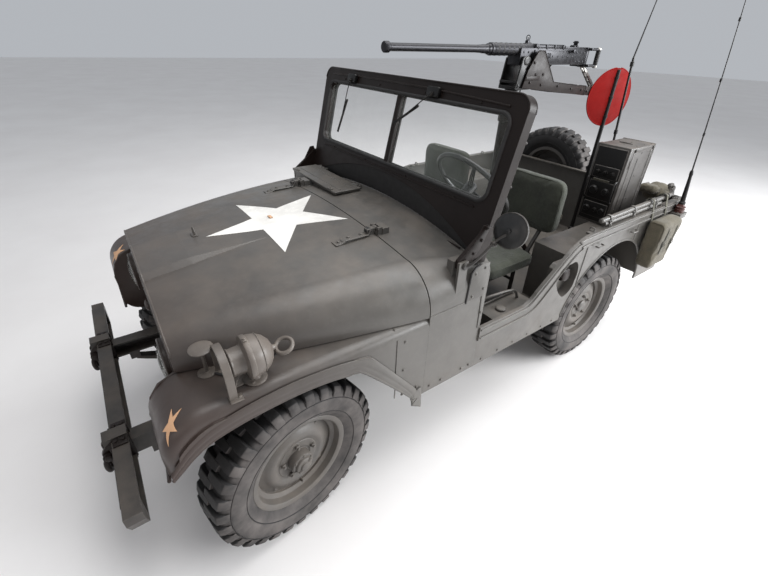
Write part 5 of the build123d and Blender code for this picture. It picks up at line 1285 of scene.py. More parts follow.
def add_gun_tray():
    """The tray's plates, beam, bolts and feed chute."""
    z = GUN_Z
    form = Form()
    side_plate = [(790, z - 92), (850, z - 3), (905, z - 3), (1050, z - 163), (1420, z - 198),
                  (1412, z - 250), (898, z - 201), (760, z - 188)]
    for side in (-1, 1):
        x = side * 68
        form.plate(side_plate, x, x + side * 6, 1.2)
        edge = [Vector((x + side * 6, y, zz)) for y, zz in side_plate]
        for a, b in ((0, 1), (1, 2), (2, 3), (3, 4), (4, 5)):
            form.tube([edge[a], (edge[a] + edge[b]) / 2, edge[b]], 2.6, 6)
        form.block(side * 48.5, side * 68, 868, 908, z - 52, z - 12, 2)
        for y, dz in ((830, -60), (860, -120), (930, -120), (820, -160), (930, -175), (1100, -185),
                      (1250, -205), (1370, -215)):
            form.bolt((x + side * 6, y, z + dz), (side, 0, 0), 7, 6)
        form.plate([(780, z - 150), (900, z - 150), (900, z - 128), (780, z - 128)], x + side * 6,
                   x + side * 9, 1)
    beam = [(1030, z - 163), (1640, z - 215), (1632, z - 268), (1030, z - 214)]
    for side in (-1, 1):
        form.plate(beam, side * 60, side * 67, 1.5)
    form.skin([[(-62, 1030, z - 166), (0, 1030, z - 166), (62, 1030, z - 166)],
               [(-62, 1640, z - 218), (0, 1640, z - 218), (62, 1640, z - 218)]], 5)
    form.skin([[(-62, 1030, z - 212), (0, 1030, z - 212), (62, 1030, z - 212)],
               [(-62, 1634, z - 262), (0, 1634, z - 262), (62, 1634, z - 262)]], 5)
    for y in (1120, 1250, 1380, 1500):
        form.slab(rounded(16, 26, 8), facing((0, y, z - 163 - (y - 1030) * 0.085 + 1), LEFT, (0, 1, -0.085)),
                  3, 1)
    form.rod((-66, 1598, z - 240), (66, 1598, z - 240), 9)
    for side in (-1, 1):
        form.bolt((side * 67, 1598, z - 240), (side, 0, 0), 13, 9)
        form.bolt((side * 67, 1450, z - 228), (side, 0, 0), 8, 7)
    form.rod((-50, 1060, z - 190), (-50, 1180, z - 60), 7)
    form.paint = 1
    form.plate([(1590, z - 212), (1640, z - 212), (1636, z - 262), (1600, z - 258)], -32, 32, 4)
    for side in (-1, 1):
        form.plate([(1404, z - 74), (1428, z - 70), (1644, z - 222), (1606, z - 222)],
                   side * 9, side * 14, 1.5)
    for i in range(5):
        share = (i + 0.5) / 5
        form.rod((-10, 1418 + 206 * share, z - 76 - 144 * share),
                 (10, 1418 + 206 * share, z - 76 - 144 * share), 5)
    form.rod((-16, 1408, z - 74), (16, 1408, z - 74), 9)
    form.piece("gun_tray_plates", "machine_gun", [DARK, BARE], ["gun_tray"], "black_steel")


def add_pedestal():
    """The gun's pillar with its stays, and the yoke that turns on it."""
    base, y = FLOOR_Z + 0.3, PEDESTAL_Y
    form = Form()
    form.lathe((0, y, base), UP, [(0, 148), (8, 150), (12, 146), (12, 60), (22, 54), (30, 50), (300, 50),
                                  (306, 55), (330, 55), (336, 50), (900, 50), (904, 58), (960, 58), (966, 51),
                                  (1030, 51), (1034, 56), (1057, 56), (1057, 26.5), (938, 26.5), (938, 1)],
               48)
    for spot in level_ring((0, y, base + 10), 126, 8, 22.5):
        form.bolt(spot, UP, 11, 9)
    for angle in (30, 150, 270):
        c, s = cos(radians(angle)), sin(radians(angle))
        form.rod((340 * c, y + 340 * s, base + 14), (40 * c, y + 40 * s, base + 420), 16)
        form.lathe((340 * c, y + 340 * s, base), UP, [(0, 40), (8, 40), (12, 34), (22, 22), (30, 1)], 28)
        for turn in (-1, 1):
            form.bolt((340 * c - 28 * s * turn, y + 340 * s + 28 * c * turn, base + 8), UP, 7, 7)
        form.slab([(-14, -26), (14, -26), (14, 26), (-14, 26)],
                  spun((46 * c, y + 46 * s, base + 408), (c, s, 0)), 14, 3)
    form.rod((50, y, base + 1000), (92, y, base + 1000), 7)
    form.rod((86, y - 40, base + 1000), (86, y + 40, base + 1000), 6)
    for side in (-1, 1):
        form.bolt((side * 58, y + 10, base + 930), (side, 0, 0), 10, 9)
    form.piece("gun_pedestal", "chassis", [DARK], ["pedestal"], "black_steel")
    form = Form()
    z = YOKE_Z
    form.rod((0, y, z - 100), (0, y, z + 40), 26)
    form.lathe((0, y, z), UP, [(0.5, 46), (24, 46), (30, 42), (34, 30)], 36)
    form.block(-62, 62, y - 60, y + 70, z + 22, z + 42, 4)
    cheek = [(y - 60, z + 30), (y + 70, z + 30), (y + 42, TRUNNION_Z - 40), (y + 34, TRUNNION_Z + 10),
             (y + 18, TRUNNION_Z + 22), (y - 18, TRUNNION_Z + 22), (y - 34, TRUNNION_Z + 10),
             (y - 42, TRUNNION_Z - 40)]
    for side in (-1, 1):
        form.plate(cheek, side * 52, side * 62, 2.5)
        form.lathe((0, y, TRUNNION_Z), (side, 0, 0), [(62, 22), (66, 22), (68, 14), (68, 12)], 28)
        for dy in (-38, 44):
            form.bolt((side * 62, y + dy, z + 44), (side, 0, 0), 8, 4)
    form.rod((-64, y - 48, z + 60), (64, y - 48, z + 60), 8)
    form.pipe([(-34, y + 62, z + 26), (-42, y + 74, z + 4), (-46, y + 76, z - 30), (-44, y + 72, z - 60)], 5,
              6, 8)
    form.piece("gun_yoke", "gun_cradle", [BLACK], ["gun_cradle"], "black_steel")


# Seats and steering

def add_pad(name, place, half, power, seed):
    """A stuffed seat pad with its two corded seams."""
    form = Form()
    found = blown(form, place, half, power=power, cap=9.0, seed=seed)
    for level in SEAM_LEVELS:
        seam(form, found, level)
    pad = form.piece(name, "chassis", [SEAT], slot="seat_canvas", angle=60, subdivide=1)


def add_seats():
    """Stuffed cushions and backs on bent tube frames."""
    for name, x in (("driver", 360.0), ("passenger", -365.0)):
        add_pad(f"{name}_cushion", Matrix.Translation((x, 344, 811)), (210, 194, 31), 9.0, x)
        lean = Matrix.Translation((x, 660, 1082)) @ Matrix.Rotation(radians(90), 4, "X")
        add_pad(f"{name}_back", lean, (210, 158, 31), 7.0, x + 5)
        form = Form()
        for side in (-1, 1):
            rail = x + side * 110
            form.pipe([(rail, 180, 543), (rail, 180, 740), (rail, 205, 774), (rail, 500, 775),
                       (rail, 552, 778), (rail, 600, 850), (rail, 655, 935)], 6, 12, 12)
            form.rod((rail, 489, 543), (rail, 489, 772), 12)
            for y in (180, 489):
                form.lathe((rail, y, 542.4), UP, [(0, 28), (4, 28), (7, 20), (8, 13)], 20)
                form.bolt((rail - 20, y + 4, 546), UP, 5, 5)
        for y in (184, 486):
            form.rod((x - 110, y, 650), (x + 110, y, 650), 9)
        form.skin([[(x - 180, 170, 771), (x, 170, 768), (x + 180, 170, 771)],
                   [(x - 180, 520, 771), (x, 520, 768), (x + 180, 520, 771)]], 4)
        form.piece(f"{name}_seat_frame", "chassis", [CHASSIS], [f"{name}_seat"], "chassis_paint")


def add_steering():
    """The steering wheel, its column and the clamp on the panel."""
    lean = radians(50)
    axis = Vector((0, sin(lean), cos(lean)))
    middle = Vector((370, 130, 1250))
    place = spun(middle, axis)
    form = Form()
    form.tube(ring(middle, axis, 205, 72), 12, 16, closed=True)
    form.turned([(-55, 22), (-50, 29), (-20, 30), (2, 30), (8, 24), (12, 22), (12, 1)], place, 32)
    for i in range(3):
        a = radians(120 * i)
        out = place.to_3x3() @ Vector((0, cos(a), sin(a)))
        for gap in (-9, 0, 9):
            shift = axis.cross(out) * gap
            form.tube([middle + out * 24 - axis * 16 + shift, middle + out * 110 - axis * 10 + shift,
                       middle + out * 196 + shift * 0.6], 3.6, 8)
    form.piece("steering_rim", "steering_wheel", [BAKELITE], ["steering_wheel"], "black_plastic")
    form = Form()
    top = middle - axis * 80
    form.lathe(top, axis, [(-60, 22.5), (-52, 27), (-8, 27), (0, 23)], 28)
    form.rod(top - axis * 30 + Vector((18, 0, 0)), top - axis * 20 + Vector((96, 10, 0)), 4.5)
    form.rod(top - axis * 20 + Vector((94, 10, 0)), top - axis * 19 + Vector((108, 12, 0)), 8)
    form.block(340, 400, -136, -118, 990, 1030, 4)
    form.piece("column_clamp", "chassis", [DARK], slot="chassis_paint")


def add_cab_fittings():
    """Instruments on the panel, pedals, levers and grab handles."""
    form = Form()
    face = -119.5
    for x, z, r in ((120, 1000, 52), (10, 1035, 30), (10, 965, 30), (230, 1035, 30), (230, 965, 30)):
        form.paint = 0
        form.lathe((x, face, z), BACK, [(0, r), (7, r), (9, r - 2), (9, r - 5), (5, r - 6), (5, 1)], 36)
        form.paint = 1
        form.lathe((x, face, z), BACK, [(5, r - 6), (5.6, r - 6.5), (5.6, 1)], 32)
        form.paint = 2
        form.band([(x, face + 6.5, z), (x + r * 0.25, face + 6.5, z + r * 0.3),
                   (x + r * 0.5, face + 6.5, z + r * 0.6)], BACK, 1, 3)
    form.paint = 0
    for i in range(6):
        x = -90 - 55 * i
        form.lathe((x, face, 935), BACK, [(0, 12), (4, 12), (6, 7), (18, 6), (20, 11), (30, 11),
                                          (32, 8), (32, 1)], 20)
    form.slab(rounded(150, 62, 10), facing((-300, face, 1020), RIGHT, UP), 5, 2)
    form.rod((-300, face + 3, 1065), (-300, face + 14, 1065), 9)
    for x in (-560, -480):
        form.slab(rounded(32, 20, 2), facing((x, face, 1000), RIGHT, UP), 2, 0.5)
    form.pipe([(-470, face, 1050), (-470, face + 45, 1052), (-630, face + 45, 1052), (-630, face, 1050)], 6,
              8, 10)
    for x in (300, 420):
        form.slab(rounded(34, 26, 8), facing((x, -300, 640), LEFT, (0, -0.5, 1)), 10, 3)
        form.pipe([(x, -304, 640), (x, -360, 660), (x, -400, 740), (x, -428, 800)], 5, 8, 10)
    form.slab(rounded(22, 62, 8), facing((520, -330, 600), LEFT, (0, -0.6, 1)), 8, 2)
    for x, y, top, bend in ((60, 20, 900, 30), (-20, 60, 780, -10), (-70, 60, 780, -30)):
        form.pipe([(x, y, 545), (x, y + 10, 650), (x + bend, y + 40, top - 60), (x + bend, y + 60, top)], 6,
                  7, 10)
        form.lathe((x + bend, y + 60, top - 4), (0, 0.2, 1),
                   [(0, 6), (6, 16), (18, 20), (32, 16), (38, 1)], 24)
        form.lathe((x, y, 542.5), UP, [(0, 42), (4, 42), (20, 20), (34, 12), (36, 8)], 28)
    form.pipe([(240, -126, 880), (240, -60, 870), (240, -20, 862)], 5, 8, 10)
    form.piece("cab_controls", "chassis", [BLACK, BAKELITE, WHITE], slot="black_steel")
    form = Form()
    for x in (-300, 0, 300, 600, -600):
        form.tube([(x, -100, 543), (x, 100, 544), (x, 520, 543)], 6, 8, flat=0.5)
    for x in (-390, -260, -130, 130, 260, 390):
        form.tube([(x, 1130, 543), (x, 1400, 544), (x, 1700, 543)], 7, 8, flat=0.5)
    form.pipe([(620, 60, 700), (622, 66, 742), (640, 120, 760), (660, 240, 758), (664, 285, 700)], 6, 7, 10)
    form.plate([(40, 640), (310, 640), (310, 700), (40, 700)], 606, 611, 1)
    form.lathe((690, 120, 699), UP, [(0, 26), (10, 26), (14, 22), (16, 1)], 28)
    for side in (-1, 1):
        for y in (700, 1450, 1690):
            form.slab(rounded(20, 10, 4), facing((side * 740, y, 1018), LEFT, BACK), 3, 1)
            form.pipe([(side * 740 - 12, y, 1020), (side * 740 - 10, y, 1034), (side * 740 + 10, y, 1034),
                       (side * 740 + 12, y, 1020)], 4, 3.5, 8)
    form.piece("floor_ribs", "chassis", [BODY], slot="body_paint")


# Lamps and grille

def add_front_lamps():
    """Headlamps, grille edges, radiator fins and rear lamps."""
    form = Form()
    for side in (-1, 1):
        place = spun((side * HEADLAMP_X, HOOD_FRONT_Y, HEADLAMP_Z), AHEAD)
        form.paint = 0
        form.turned([(-60, 1), (-58, 60), (-40, 84), (0, 91), (14, 91.5), (18, 91.5), (22, 88), (22, 84),
                     (16, 82), (4, 80), (4, 1)], place, 56)
        form.tube(ring((side * HEADLAMP_X, HOOD_FRONT_Y - 17, HEADLAMP_Z), BACK, 89, 56), 3.5, 8, closed=True)
        form.bolt((side * HEADLAMP_X, HOOD_FRONT_Y - 16, 764), AHEAD, 5, 5)
        form.paint = 1
        form.turned([(10, 82), (18, 80), (26, 66), (33, 40), (36, 14), (36.5, 1), (30, 1), (20, 60), (6, 81)],
                    place, 48, closed=True)
        form.paint = 2
        form.turned([(5, 80), (6, 80), (2, 40), (0, 1), (-2, 1)], place, 40)
    form.piece("head_lamps", "chassis", [BODY, LENS, BARE], ["headlamps"], "lamp_glass")
    form = Form()
    y = HOOD_FRONT_Y - 0.5
    for i in range(-3, 4):
        x = 72 * i
        edge = [(x + u, y, 790 + v) for u, v in rounded(22, 140, 2, 1)]
        form.tube(edge, 3.2, 6, closed=True)
    for side in (-1, 1):
        form.tube(ring((side * HEADLAMP_X, y, HEADLAMP_Z), BACK, 95, 56), 4, 8, closed=True)
        for x, z in ((side * 250, 690), (side * 270, 900), (side * 480, 900), (side * 340, 600)):
            form.bolt((x, y, z), AHEAD, 6, 4)
        form.lathe((side * 300, y, 700), AHEAD, [(0, 30), (10, 30), (16, 24), (20, 14), (21, 1)], 28)
    form.piece("grille_trim", "chassis", [BODY], slot="body_paint")
    form = Form()
    for i in range(24):
        z = 560 + 18 * i
        form.block(-262, 262, -1268, -1264.5, z, z + 5, 0)
    form.block(-282, -268, -1276, -1200, 540, 1004, 3)
    form.block(268, 282, -1276, -1200, 540, 1004, 3)
    form.lathe((0, -1234, 1000), UP, [(0, 34), (12, 34), (16, 28), (22, 28), (24, 1)], 28)
    form.piece("radiator_core", "chassis", [BLACK], slot="engine_iron")
    form = Form()
    for side in (-1, 1):
        form.paint = 0
        form.lathe((side * REAR_LAMP_X, TUB_REAR_Y, 860), BACK, [(0, 42), (22, 44), (28, 42), (30, 36)], 32)
        form.paint = 1
        form.lathe((side * REAR_LAMP_X, TUB_REAR_Y, 860), BACK,
                   [(26, 36), (34, 34), (38, 24), (40, 1), (26, 1)], 32, closed=True)
        form.paint = 0
        form.lathe((side * REAR_LAMP_X, TUB_REAR_Y, 740), BACK, [(0, 40), (3, 40), (5, 36)], 28)
        form.paint = 1
        form.lathe((side * REAR_LAMP_X, TUB_REAR_Y, 740), BACK, [(4, 36), (8, 34), (9, 1), (4, 1)],
                   28, closed=True)
    form.piece("rear_lamps", "chassis", [BODY, RED], slot="body_paint")


# Padded pieces: a soft case blown up by Cloth pressure

CASE_CUTS = 14
CLOTH_FRAMES, CLOTH_PRESSURE = 20, 4.0
SEAM_LEVELS, SEAM_R, SEAM_STEPS = (0.8, -0.8), 3.4, 56


def blown(form, place, half, taper=0.0, power=9.0, cap=14.0, voxel=0.007, seed=0.0, creases=2.0):
    """Adds a stuffed case to the form and returns a finder of where a point of its first shape ended."""
    start = bmesh.new()
    bmesh.ops.create_cube(start, size=2.0)
    bmesh.ops.subdivide_edges(start, edges=start.edges[:], cuts=CASE_CUTS, use_grid_fill=True)

    def boxed(x, y, z):
        """A point of the cube, brought onto the rounded box."""
        norm = (abs(x) ** power + abs(y) ** power + abs(z) ** power) ** (1 / power)
        x, y, z = x / norm, y / norm, z / norm
        return place @ Vector((x * half[0], y * half[1] * (1 + taper * z), z * half[2]))

    for vert in start.verts:
        vert.co = boxed(*vert.co)
    start.transform(TO_FRAME)
    mesh = bpy.data.meshes.new("case")
    start.to_mesh(mesh)
    start.free()
    case = bpy.data.objects.new("case", mesh)
    scene.collection.objects.link(case)
    remesh = case.modifiers.new("remesh", "REMESH")
    remesh.mode = "VOXEL"
    remesh.voxel_size = voxel
    fine = bpy.data.meshes.new_from_object(case.evaluated_get(bpy.context.evaluated_depsgraph_get()))
    case.modifiers.clear()
    case.data = fine
    rest = [vertex.co.copy() for vertex in fine.vertices]
    skin = case.modifiers.new("cloth", "CLOTH")
    skin.settings.use_pressure = True
    skin.settings.uniform_pressure_force = CLOTH_PRESSURE
    skin.settings.effector_weights.gravity = 0.0
    skin.collision_settings.use_collision = False
    for step in range(1, CLOTH_FRAMES + 1):
        scene.frame_set(step)
    full = bpy.data.meshes.new_from_object(case.evaluated_get(bpy.context.evaluated_depsgraph_get()))
    scene.frame_set(1)
    bpy.data.objects.remove(case)
    tree = KDTree(len(rest))
    limit = cap / 1000
    for i, vertex in enumerate(full.vertices):
        move = vertex.co - rest[i]
        if move.length > limit:
            move *= limit / move.length
        spot = rest[i] * 1000
        rough = noise.noise(Vector((spot.x / 60 + seed, spot.y / 60, spot.z / 60))) * creases
        fold = noise.noise(Vector((spot.x / 22 + seed, spot.y / 50, spot.z / 22))) * creases * 0.5
        vertex.co = rest[i] + move + vertex.normal * (rough + fold) / 1000
        tree.insert(rest[i], i)
    tree.balance()
    back = TO_FRAME.inverted()
    full.transform(back)
    moved = [vertex.co.copy() for vertex in full.vertices]
    before = set(form.mesh.faces)
    form.mesh.from_mesh(full)
    for face in form.mesh.faces:
        if face not in before:
            face.material_index = form.paint
    bpy.data.meshes.remove(full)
    return lambda x, y, z: moved[tree.find(TO_FRAME @ boxed(x, y, z))[1]]


def seam(form, found, level):
    """The corded seam round a blown case, at a height of its first box."""
    points = []
    for i in range(SEAM_STEPS):
        a = 2 * pi * i / SEAM_STEPS
        x, y = cos(a), sin(a)
        reach = max(abs(x), abs(y))
        points.append(found(x / reach, y / reach, level))
    smooth = [(points[i - 1] + points[i] * 2 + points[(i + 1) % SEAM_STEPS]) / 4 for i in range(SEAM_STEPS)]
    form.tube(smooth, SEAM_R, 8, closed=True)


# Load behind the seats

def add_radio():
    """The radio set with its knobs, handles and webbing."""
    x0, x1, y0, y1, z0, z1 = 410.0, 610.0, 1130.0, 1430.0, 892.3, 1365.3
    form = Form()
    form.block(x0 + 3, x1 - 3, y0 + 26, y1 - 2, z0 + 2, z1 - 3, 7, 3)
    form.block(x0, x1, y0 + 4, y0 + 40, z0, z1, 6, 2)
    form.block(x0, x1, y1 - 14, y1, z0, z1, 5, 2)
    for z in (z0 + 6, z1 - 30):
        form.block(x1 - 6, x1 - 0.5, y0 + 52, y1 - 22, z, z + 20, 2)
    for y in (y0 + 52, y1 - 44):
        form.block(x1 - 6, x1 - 0.5, y, y + 20, z0 + 6, z1 - 10, 2)
    for y in (y0 + 62, y0 + 150, y1 - 34):
        for z in (z0 + 40, z0 + 160, z0 + 300, z1 - 40):
            form.bolt((x1 - 1, y, z), LEFT, 3.5, 1)
    for x in (x0 + 24, x0 + 100, x1 - 24):
        for y in (y0 + 22, y0 + 110, y0 + 200, y1 - 12):
            form.bolt((x, y, z1 - 3), UP, 4, 3)
    form.pipe([(x0 + 60, y0 + 140, z1 - 3), (x0 + 62, y0 + 140, z1 - 1), (x0 + 100, y0 + 140, z1),
               (x0 + 140, y0 + 140, z1 - 3)], 4, 5, 8)
    form.paint = 1
    form.block(x1 - 3.6, x1 - 2.2, y0 + 118, y0 + 126, z0 + 50, z1 - 70, 0)
    form.block(x0 + 12, x1 - 12, y0 + 1, y0 + 8, z0 + 14, z1 - 14, 3)
    for z, h in ((z0 + 40, 90), (z0 + 150, 110), (z0 + 280, 70)):
        form.block(x0 + 24, x1 - 24, y0 - 2, y0 + 6, z, z + h, 3)
    for x, z, r in ((x0 + 50, z0 + 85, 20), (x0 + 105, z0 + 85, 14), (x0 + 150, z0 + 85, 20),
                    (x0 + 60, z0 + 205, 26), (x0 + 135, z0 + 205, 22), (x0 + 55, z0 + 315, 12),
                    (x0 + 100, z0 + 315, 12), (x0 + 145, z0 + 315, 12)):
        form.lathe((x, y0, z), AHEAD, [(0, r), (8, r), (12, r * 0.8), (16, r * 0.75), (17, 1)], 24)
    for x in (x0 + 16, x1 - 16):
        form.pipe([(x, y0, z0 + 150), (x, y0 - 22, z0 + 165), (x, y0 - 22, z0 + 265), (x, y0, z0 + 280)], 5,
                  5, 8)
    form.paint = 2
    form.block(x0 + 40, x1 - 60, y0 - 8, y0 + 4, z0 + 262, z0 + 274, 2)
    form.paint = 0
    form.block(x1 - 14, x1 + 4, y0 + 34, y0 + 40, z0 + 60, z0 + 110, 2)
    form.block(x1 - 14, x1 + 4, y0 + 34, y0 + 40, z1 - 120, z1 - 70, 2)
    form.piece("radio_set", "chassis", [RADIO, BLACK, WEBBING], ["radio_box"], "radio_paint")


def add_antennas():
    """The bracketed side aerial and the tall one on the floor."""
    form = Form()
    x, y, z = BODY_X + 36, TUB_REAR_Y - 125, TUB_TOP - 63
    turn = Matrix(((1, 0, 0, BODY_X), (0, 0, 1, y - 48), (0, 1, 0, z), (0, 0, 0, 1)))
    form.slab([(0.5, 0), (0.5, -79), (14, -79), (71, -34), (71, 0)], turn, 96, 2)
    for dy in (-30, 30):
        form.bolt((BODY_X + 44, y + dy, z - 1), UP, 6, 6)
    form.paint = 1
    form.lathe((x, y, z), UP, [(0, 27), (6, 29), (9, 25), (14, 25), (17, 30), (22, 30), (25, 25), (30, 25),
                               (33, 29), (38, 29), (41, 23), (50, 21), (58, 15), (58, 1)], 36)
    form.paint = 2
    foot, mid, tip = Vector((x, y, z + 54)), Vector((780, y, 1205)), Vector((660, y, 2295))
    form.lathe(foot, mid - foot, [(-10, 17), (0, 19), (12, 19), (16, 14), (90, 11.5),
                                  ((mid - foot).length, 8.5), ((mid - foot).length + 1, 1)], 24)
    form.lathe(mid - (mid - foot).normalized() * 20, mid - foot,
               [(0, 10), (4, 11), (26, 10), (32, 6), (33, 1)], 20)
    form.pipe([mid, mid * 0.72 + tip * 0.28 + Vector((3, 0, 0)), mid * 0.4 + tip * 0.6 + Vector((4, 0, 0)),
               tip], 8, 4.6, 8, end_radius=2.2)
    for share in (0.2, 0.46, 0.72):
        form.rod(mid.lerp(tip, share) + Vector((3, 0, -9)),
                 mid.lerp(tip, share) + Vector((2, 0, 9)), 6, sides=12)
    low, bend, top = Vector((297, 1680, 545)), Vector((190.75, 1680, 1792)), Vector((236.75, 1680, 2242))
    form.lathe(low, UP, [(0, 50), (8, 50), (14, 40), (30, 22), (60, 16), (64, 11)], 32)
    form.tube([low, low.lerp(bend, 0.5), bend], 9.5, 12, end_radius=7)
    form.tube([bend, bend.lerp(top, 0.5), top], 5, 8, end_radius=2.4)
    for share in (0.32, 0.64, 0.97):
        form.rod(low.lerp(bend, share - 0.01), low.lerp(bend, share + 0.012), 12, sides=16)
    form.piece("whip_aerials", "chassis", [BODY, INSULATOR, BLACK], ["antennas"], "black_steel")


def add_signal():
    """The warning disc's two halves on their post."""
    x, y, middle, radius = 136.0, 1650.0, 1553.0, 178.0
    form = Form()
    form.paint = 1
    form.lathe((x, y, 542.5), UP, [(0, 60), (6, 60), (10, 50), (14, 24), (60, 20), (64, 14.5)], 32)
    form.rod((x, y, 600), (x, y, middle + radius - 10), 13.5, sides=24)
    for z in (middle - 120, middle, middle + 120):
        form.lathe((x, y, z), UP, [(-6, 16.5), (6, 16.5), (6, 13), (-6, 13)], 20, closed=True)
    form.paint = 0
    for turn, way in ((80, 1), (68, -1)):
        a = radians(turn)
        out = Vector((cos(a), sin(a), 0)) * way
        face = out.cross(Vector(UP))
        outline = [(0, -radius)]
        outline += [(radius * cos(t), radius * sin(t)) for t in (radians(-90 + 6 * i) for i in range(1, 30))]
        outline += [(0, radius)]
        place = Matrix.Translation(Vector((x, y, middle)) - face * 2.5) @ Matrix(((out.x, 0, face.x, 0),
                                                                                  (out.y, 0, face.y, 0),
                                                                                  (out.z, 1, face.z, 0),
                                                                                  (0, 0, 0, 1)))
        form.slab(outline, place, 5, 1.2)
        rim = [place @ Vector((u, v, 2.5)) for u, v in outline[1:-1]]
        form.tube(rim, 4, 8)
    form.piece("warning_disc", "chassis", [RED, BLACK], ["signal_disc"], "signal_red")


def add_bow_tubes():
    """The folded canvas top's tubes along the belt, with their clamps."""
    form = Form()
    x = 743.0
    form.pipe([(x, 762, 1060), (x, 1160, 1064), (x, 1540, 1067), (x - 6, 1590, 1070), (x - 22, 1624, 1080),
               (x - 40, 1640, 1094)], 6, 13.6, 16)
    form.rod((x, 756, 1060), (x, 776, 1060), 11)
    form.rod((x - 34, 1636, 1090), (x - 48, 1650, 1104), 18, sides=20)
    form.rod((x, 800, 1036), (x, 1450, 1036), 13.6, sides=20)
    for y in (840, 1100, 1360):
        form.band([(x - 17, y, 1020), (x - 18, y, 1062), (x - 10, y, 1078), (x + 10, y, 1078),
                   (x + 18, y, 1062), (x + 17, y, 1020)], BACK, 20, 3)
        form.bolt((x + 18, y, 1050), LEFT, 5, 5)
        form.bolt((x + 18, y, 1028), LEFT, 5, 5)
    for y in (1470, 1520):
        form.lathe((x, y, 1066), BACK, [(-7, 18), (7, 18), (7, 13), (-7, 13)], 24, closed=True)
    form.pipe([(x, 1560, 1080), (x + 6, 1575, 1100), (x - 8, 1600, 1110), (x - 24, 1612, 1096)], 5, 5, 8)
    form.piece("folded_bows", "chassis", [BODY], ["bow_tubes"], "chassis_paint")


def add_bag():
    """The canvas bag on the side, with flap, straps and buckles."""
    form = Form()
    middle = Vector((823.3, 1427, 806))
    found = blown(form, Matrix.Translation(middle), (45, 120, 158), 0.1, power=12.0, cap=5.0,
                  seed=3.0, creases=4.0)
    for u, v in ((-1, 1), (-1, -1), (1, 1), (1, -1)):
        form.tube([found(u, v, k / 8 - 1) for k in range(1, 16)], 2.6, 6)
    rows = []
    for v in range(13):
        share = v / 12
        row = []
        for u in range(15):
            y = -1.02 + 2.04 * u / 14
            if share < 0.35:
                base = found(-1 + 2 * share / 0.35, max(-1, min(1, y)), 1) + Vector((0, 0, 4))
            else:
                base = found(1, max(-1, min(1, y)), 1 - (share - 0.35) / 0.65 * 0.75) + Vector((4.5, 0, 0))
            sag = 3.0 * sin(u * 1.9) * share * share
            row.append(base + Vector((sag * 0.4, (abs(y) > 1) * copysign(3, y), sag)))
        rows.append(row)
    form.skin(rows, 2.5)
    form.paint = 1
    for y in (-0.45, 0.45):
        strap = [found(1, y, 1 - 0.2 * k) + Vector((8 if k < 5 else 5, 0, 0)) for k in range(1, 8)]
        form.band(strap, BACK, 20, 2.5)
        buckle = found(1, y, 0.05) + Vector((9, 0, 0))
        form.tube([buckle + Vector((0, u, v)) for u, v in rounded(14, 10, 3, 2)], 2, 6, closed=True)
    bag = form.piece("satchel", "chassis", [KHAKI, WEBBING], ["side_bag"], "khaki_canvas",
                     angle=60, subdivide=1)
    form = Form()
    for y in (1330, 1500):
        form.band(curved([(782, y, 930), (779, y - 12, 985), (770, y - 26, 1040), (762, y - 32, 1082),
                          (742, y - 34, 1090), (722, y - 34, 1076), (724, y - 30, 1040), (738, y - 22, 1016)],
                         5), (0, 1, -0.2), 24, 3)
    form.piece("satchel_straps", "chassis", [WEBBING], slot="khaki_canvas", angle=50)


def add_canvas_roll():
    """The rolled canvas on the floor, tied at three places."""
    form = Form()
    place = Matrix.Translation((-220, 1640, 634)) @ Matrix.Rotation(radians(90), 4, "Y")
    found = blown(form, place, (76, 76, 258), power=2.6, cap=10.0, voxel=0.009, seed=9.0, creases=7.0)
    form.paint = 1
    for z in (-0.55, 0.0, 0.55):
        line = []
        for i in range(28):
            a = 2 * pi * i / 28
            reach = max(abs(cos(a)), abs(sin(a)))
            spot = found(cos(a) / reach, sin(a) / reach, z)
            centre = place @ Vector((0, 0, z * 258))
            line.append(centre + (spot - centre) * 0.99)
        form.band(line, LEFT, 26, 5, closed=True)
    roll = form.piece("rolled_canvas", "chassis", [KHAKI, WEBBING], ["canvas_roll"], "khaki_canvas",
                      angle=60, subdivide=1)


def add_bundle():
    """Folded canvas lying over the rear corner, inside the side tubes."""
    form = Form()
    place = Matrix.Translation((634, 1640, 1040)) @ Matrix.Rotation(radians(14), 4, "X")
    blown(form, place, (72, 78, 36), power=4.0, cap=12.0, seed=21.0, creases=9.0)
    place = Matrix.Translation((618, 1560, 1068)) @ Matrix.Rotation(radians(-12), 4, "X")
    blown(form, place, (60, 52, 28), power=3.0, cap=12.0, seed=27.0, creases=9.0)
    bundle = form.piece("canvas_bundle", "chassis", [KHAKI], slot="khaki_canvas", angle=60, subdivide=1)


